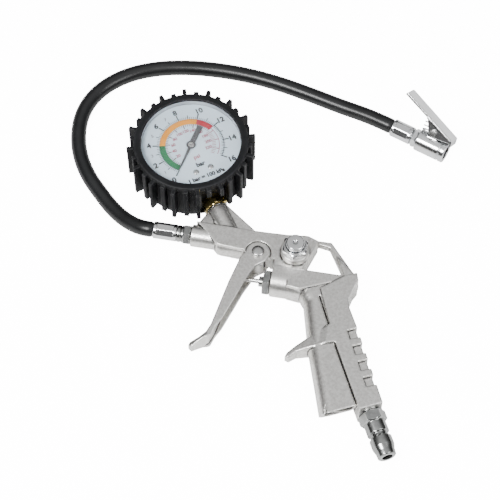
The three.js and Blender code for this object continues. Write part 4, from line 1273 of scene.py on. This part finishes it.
def make_pointer():
    """A long thin tip and a broad tail on a hub, at zero on the scale."""
    low, hub_top = DIAL_Z + 0.5, DIAL_Z + 1.1
    tip = flat_blade([(1, 0), (0.22, 19.5), (-0.22, 19.5), (-1, 0)], low, low + 0.4)
    tail = flat_blade([(-1.6, 0), (-1.6, -14.6), (1.6, -14.6), (1.6, 0)], low, low + 0.4)
    hub = turned([(0, low), (2.8, low), (2.8, hub_top), (0, hub_top)], radius=0.15)
    cap = turned([(0, hub_top), (1.9, hub_top), (1.7, hub_top + 0.25), (0.5, hub_top + 0.25),
                  (0.4, hub_top + 0.1), (0, hub_top + 0.1)], sides=48, radius=0.1)
    turn = turn_about_z(math.radians(SWEEP / 2))
    blade = moved(join_meshes(tip, tail, hub), turn)
    add_piece("needle", *on_gauge(blade), "pointer_paint", "pointer", ["pointer"])
    add_piece("needle_cap", *on_gauge(cap), "nickel_plate", "pointer")


# ------------------------------------------------------------------ springs and hidden pieces
VALVE_SPRING_END, BLEED_SPRING_FOOT = 41.7, 5.3


def make_springs():
    """The two valve springs, which their joints press together."""
    valve = add_piece("valve_coil", *on_valve(helix(3.3, 0.5, 28.9, VALVE_SPRING_END, 6)),
                      "spring_steel", stands_for=["valve_spring"])
    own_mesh(valve)
    bleed = add_piece("bleed_coil", *on_bleed(helix(2.5, 0.4, BLEED_SPRING_FOOT, 15.9, 5)),
                      "spring_steel", stands_for=["bleed_spring"])
    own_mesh(bleed)


HIDDEN_FINISH = {
    "gland_seal": "seal_rubber", "poppet_seal": "seal_rubber", "bleed_seal": "seal_rubber",
    "valve_seat": "brass", "bourdon_tube": "brass", "movement_back_plate": "brass",
    "movement_front_plate": "brass", "movement_post_left": "brass",
    "movement_post_right": "brass", "sector_gear": "brass", "movement_link": "brass",
    "pinion_arbor": "nickel_plate", "chuck_core_pin": "nickel_plate",
    "chuck_seal": "chuck_rubber",
}


def finish_hidden_nodes():
    """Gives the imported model's inside parts, which stay as they are, their finishes."""
    for name, finish in HIDDEN_FINISH.items():
        mesh = frame["nodes"][name].data
        mesh.materials.clear()
        mesh.materials.append(FINISH[finish])


# ------------------------------------------------------------------ floor and light
FLOOR_GLOW, FLOOR_BRIGHTNESS = 0.1, 14.0
FLOOR_HALF = 4


def make_floor():
    """A pale floor that glows to the eye but throws little light back on the model."""
    floor_paint = bpy.data.materials.new("floor_paint")
    floor_paint.use_nodes = True
    tree = floor_paint.node_tree
    shader = tree.nodes["Principled BSDF"]
    shader.inputs["Base Color"].default_value = (0.93, 0.93, 0.93, 1)
    shader.inputs["Roughness"].default_value = 0.9
    shader.inputs["Emission Color"].default_value = (1, 1, 1, 1)
    path = node(tree, "ShaderNodeLightPath")
    glow = node(tree, "ShaderNodeMapRange")
    glow.inputs["To Min"].default_value = FLOOR_GLOW
    glow.inputs["To Max"].default_value = FLOOR_BRIGHTNESS
    wire(tree, path.outputs["Is Camera Ray"], glow.inputs["Value"])
    wire(tree, glow.outputs["Result"], shader.inputs["Emission Strength"])
    mesh = bpy.data.meshes.new("floor")
    corners = [(FLOOR_HALF * x, FLOOR_HALF * y, 0) for x, y in ((-1, -1), (1, -1), (1, 1), (-1, 1))]
    mesh.from_pydata(corners, [], [(0, 1, 2, 3)])
    mesh.materials.append(floor_paint)
    floor = bpy.data.objects.new("floor", mesh)
    bpy.context.collection.objects.link(floor)


LAMP_AIM = (0, 0.02, 0)


def make_lamp(name, place, size, power):
    """A square soft lamp, in metres and watts."""
    data = bpy.data.lights.new(name, "AREA")
    data.shape = "SQUARE"
    data.size = size
    data.energy = power
    lamp = bpy.data.objects.new(name, data)
    lamp.location = place
    lamp.rotation_euler = (Vector(place) - Vector(LAMP_AIM)).to_track_quat("Z", "Y").to_euler()
    bpy.context.collection.objects.link(lamp)


SKY_GREYS = ((0.3, 0.05), (0.5, 0.11), (0.7, 0.36), (0.84, 0.8))
SKY_STRENGTH = 0.85


def make_sky():
    """A room for the metal to reflect: bright overhead and dark all round."""
    sky = bpy.data.worlds.new("room")
    sky.use_nodes = True
    tree = sky.node_tree
    place = node(tree, "ShaderNodeTexCoord")
    split = node(tree, "ShaderNodeSeparateXYZ")
    wire(tree, place.outputs["Generated"], split.inputs["Vector"])
    height = node(tree, "ShaderNodeValToRGB")
    stops = height.color_ramp.elements
    stops[0].position, stops[0].color = 0.0, (0.07, 0.07, 0.07, 1)
    stops[1].position, stops[1].color = 1.0, (1.0, 1.0, 1.01, 1)
    for position, grey in SKY_GREYS:
        stops.new(position).color = (grey, grey, grey, 1)
    wire(tree, split.outputs["Z"], height.inputs["Fac"])
    wire(tree, height.outputs["Color"], tree.nodes["Background"].inputs["Color"])
    tree.nodes["Background"].inputs["Strength"].default_value = SKY_STRENGTH
    bpy.context.scene.world = sky


def make_lights():
    """A key lamp on the left of the camera and a weaker one on the right."""
    make_lamp("key", (-0.4, -0.5, 0.95), 0.35, 14)
    make_lamp("fill", (0.75, -0.35, 0.75), 0.5, 6)


# ------------------------------------------------------------------ the whole scene
make_hose(make_chuck())
make_body()
make_trigger()
make_trigger_pin()
make_inflation_valve()
make_bleed_valve()
make_inlet()
make_outlet()
make_boot()
make_gauge_stem()
make_case_and_lens()
make_dial()
make_dial_screws()
make_pointer()
make_springs()
finish_hidden_nodes()
make_floor()
make_sky()
make_lights()
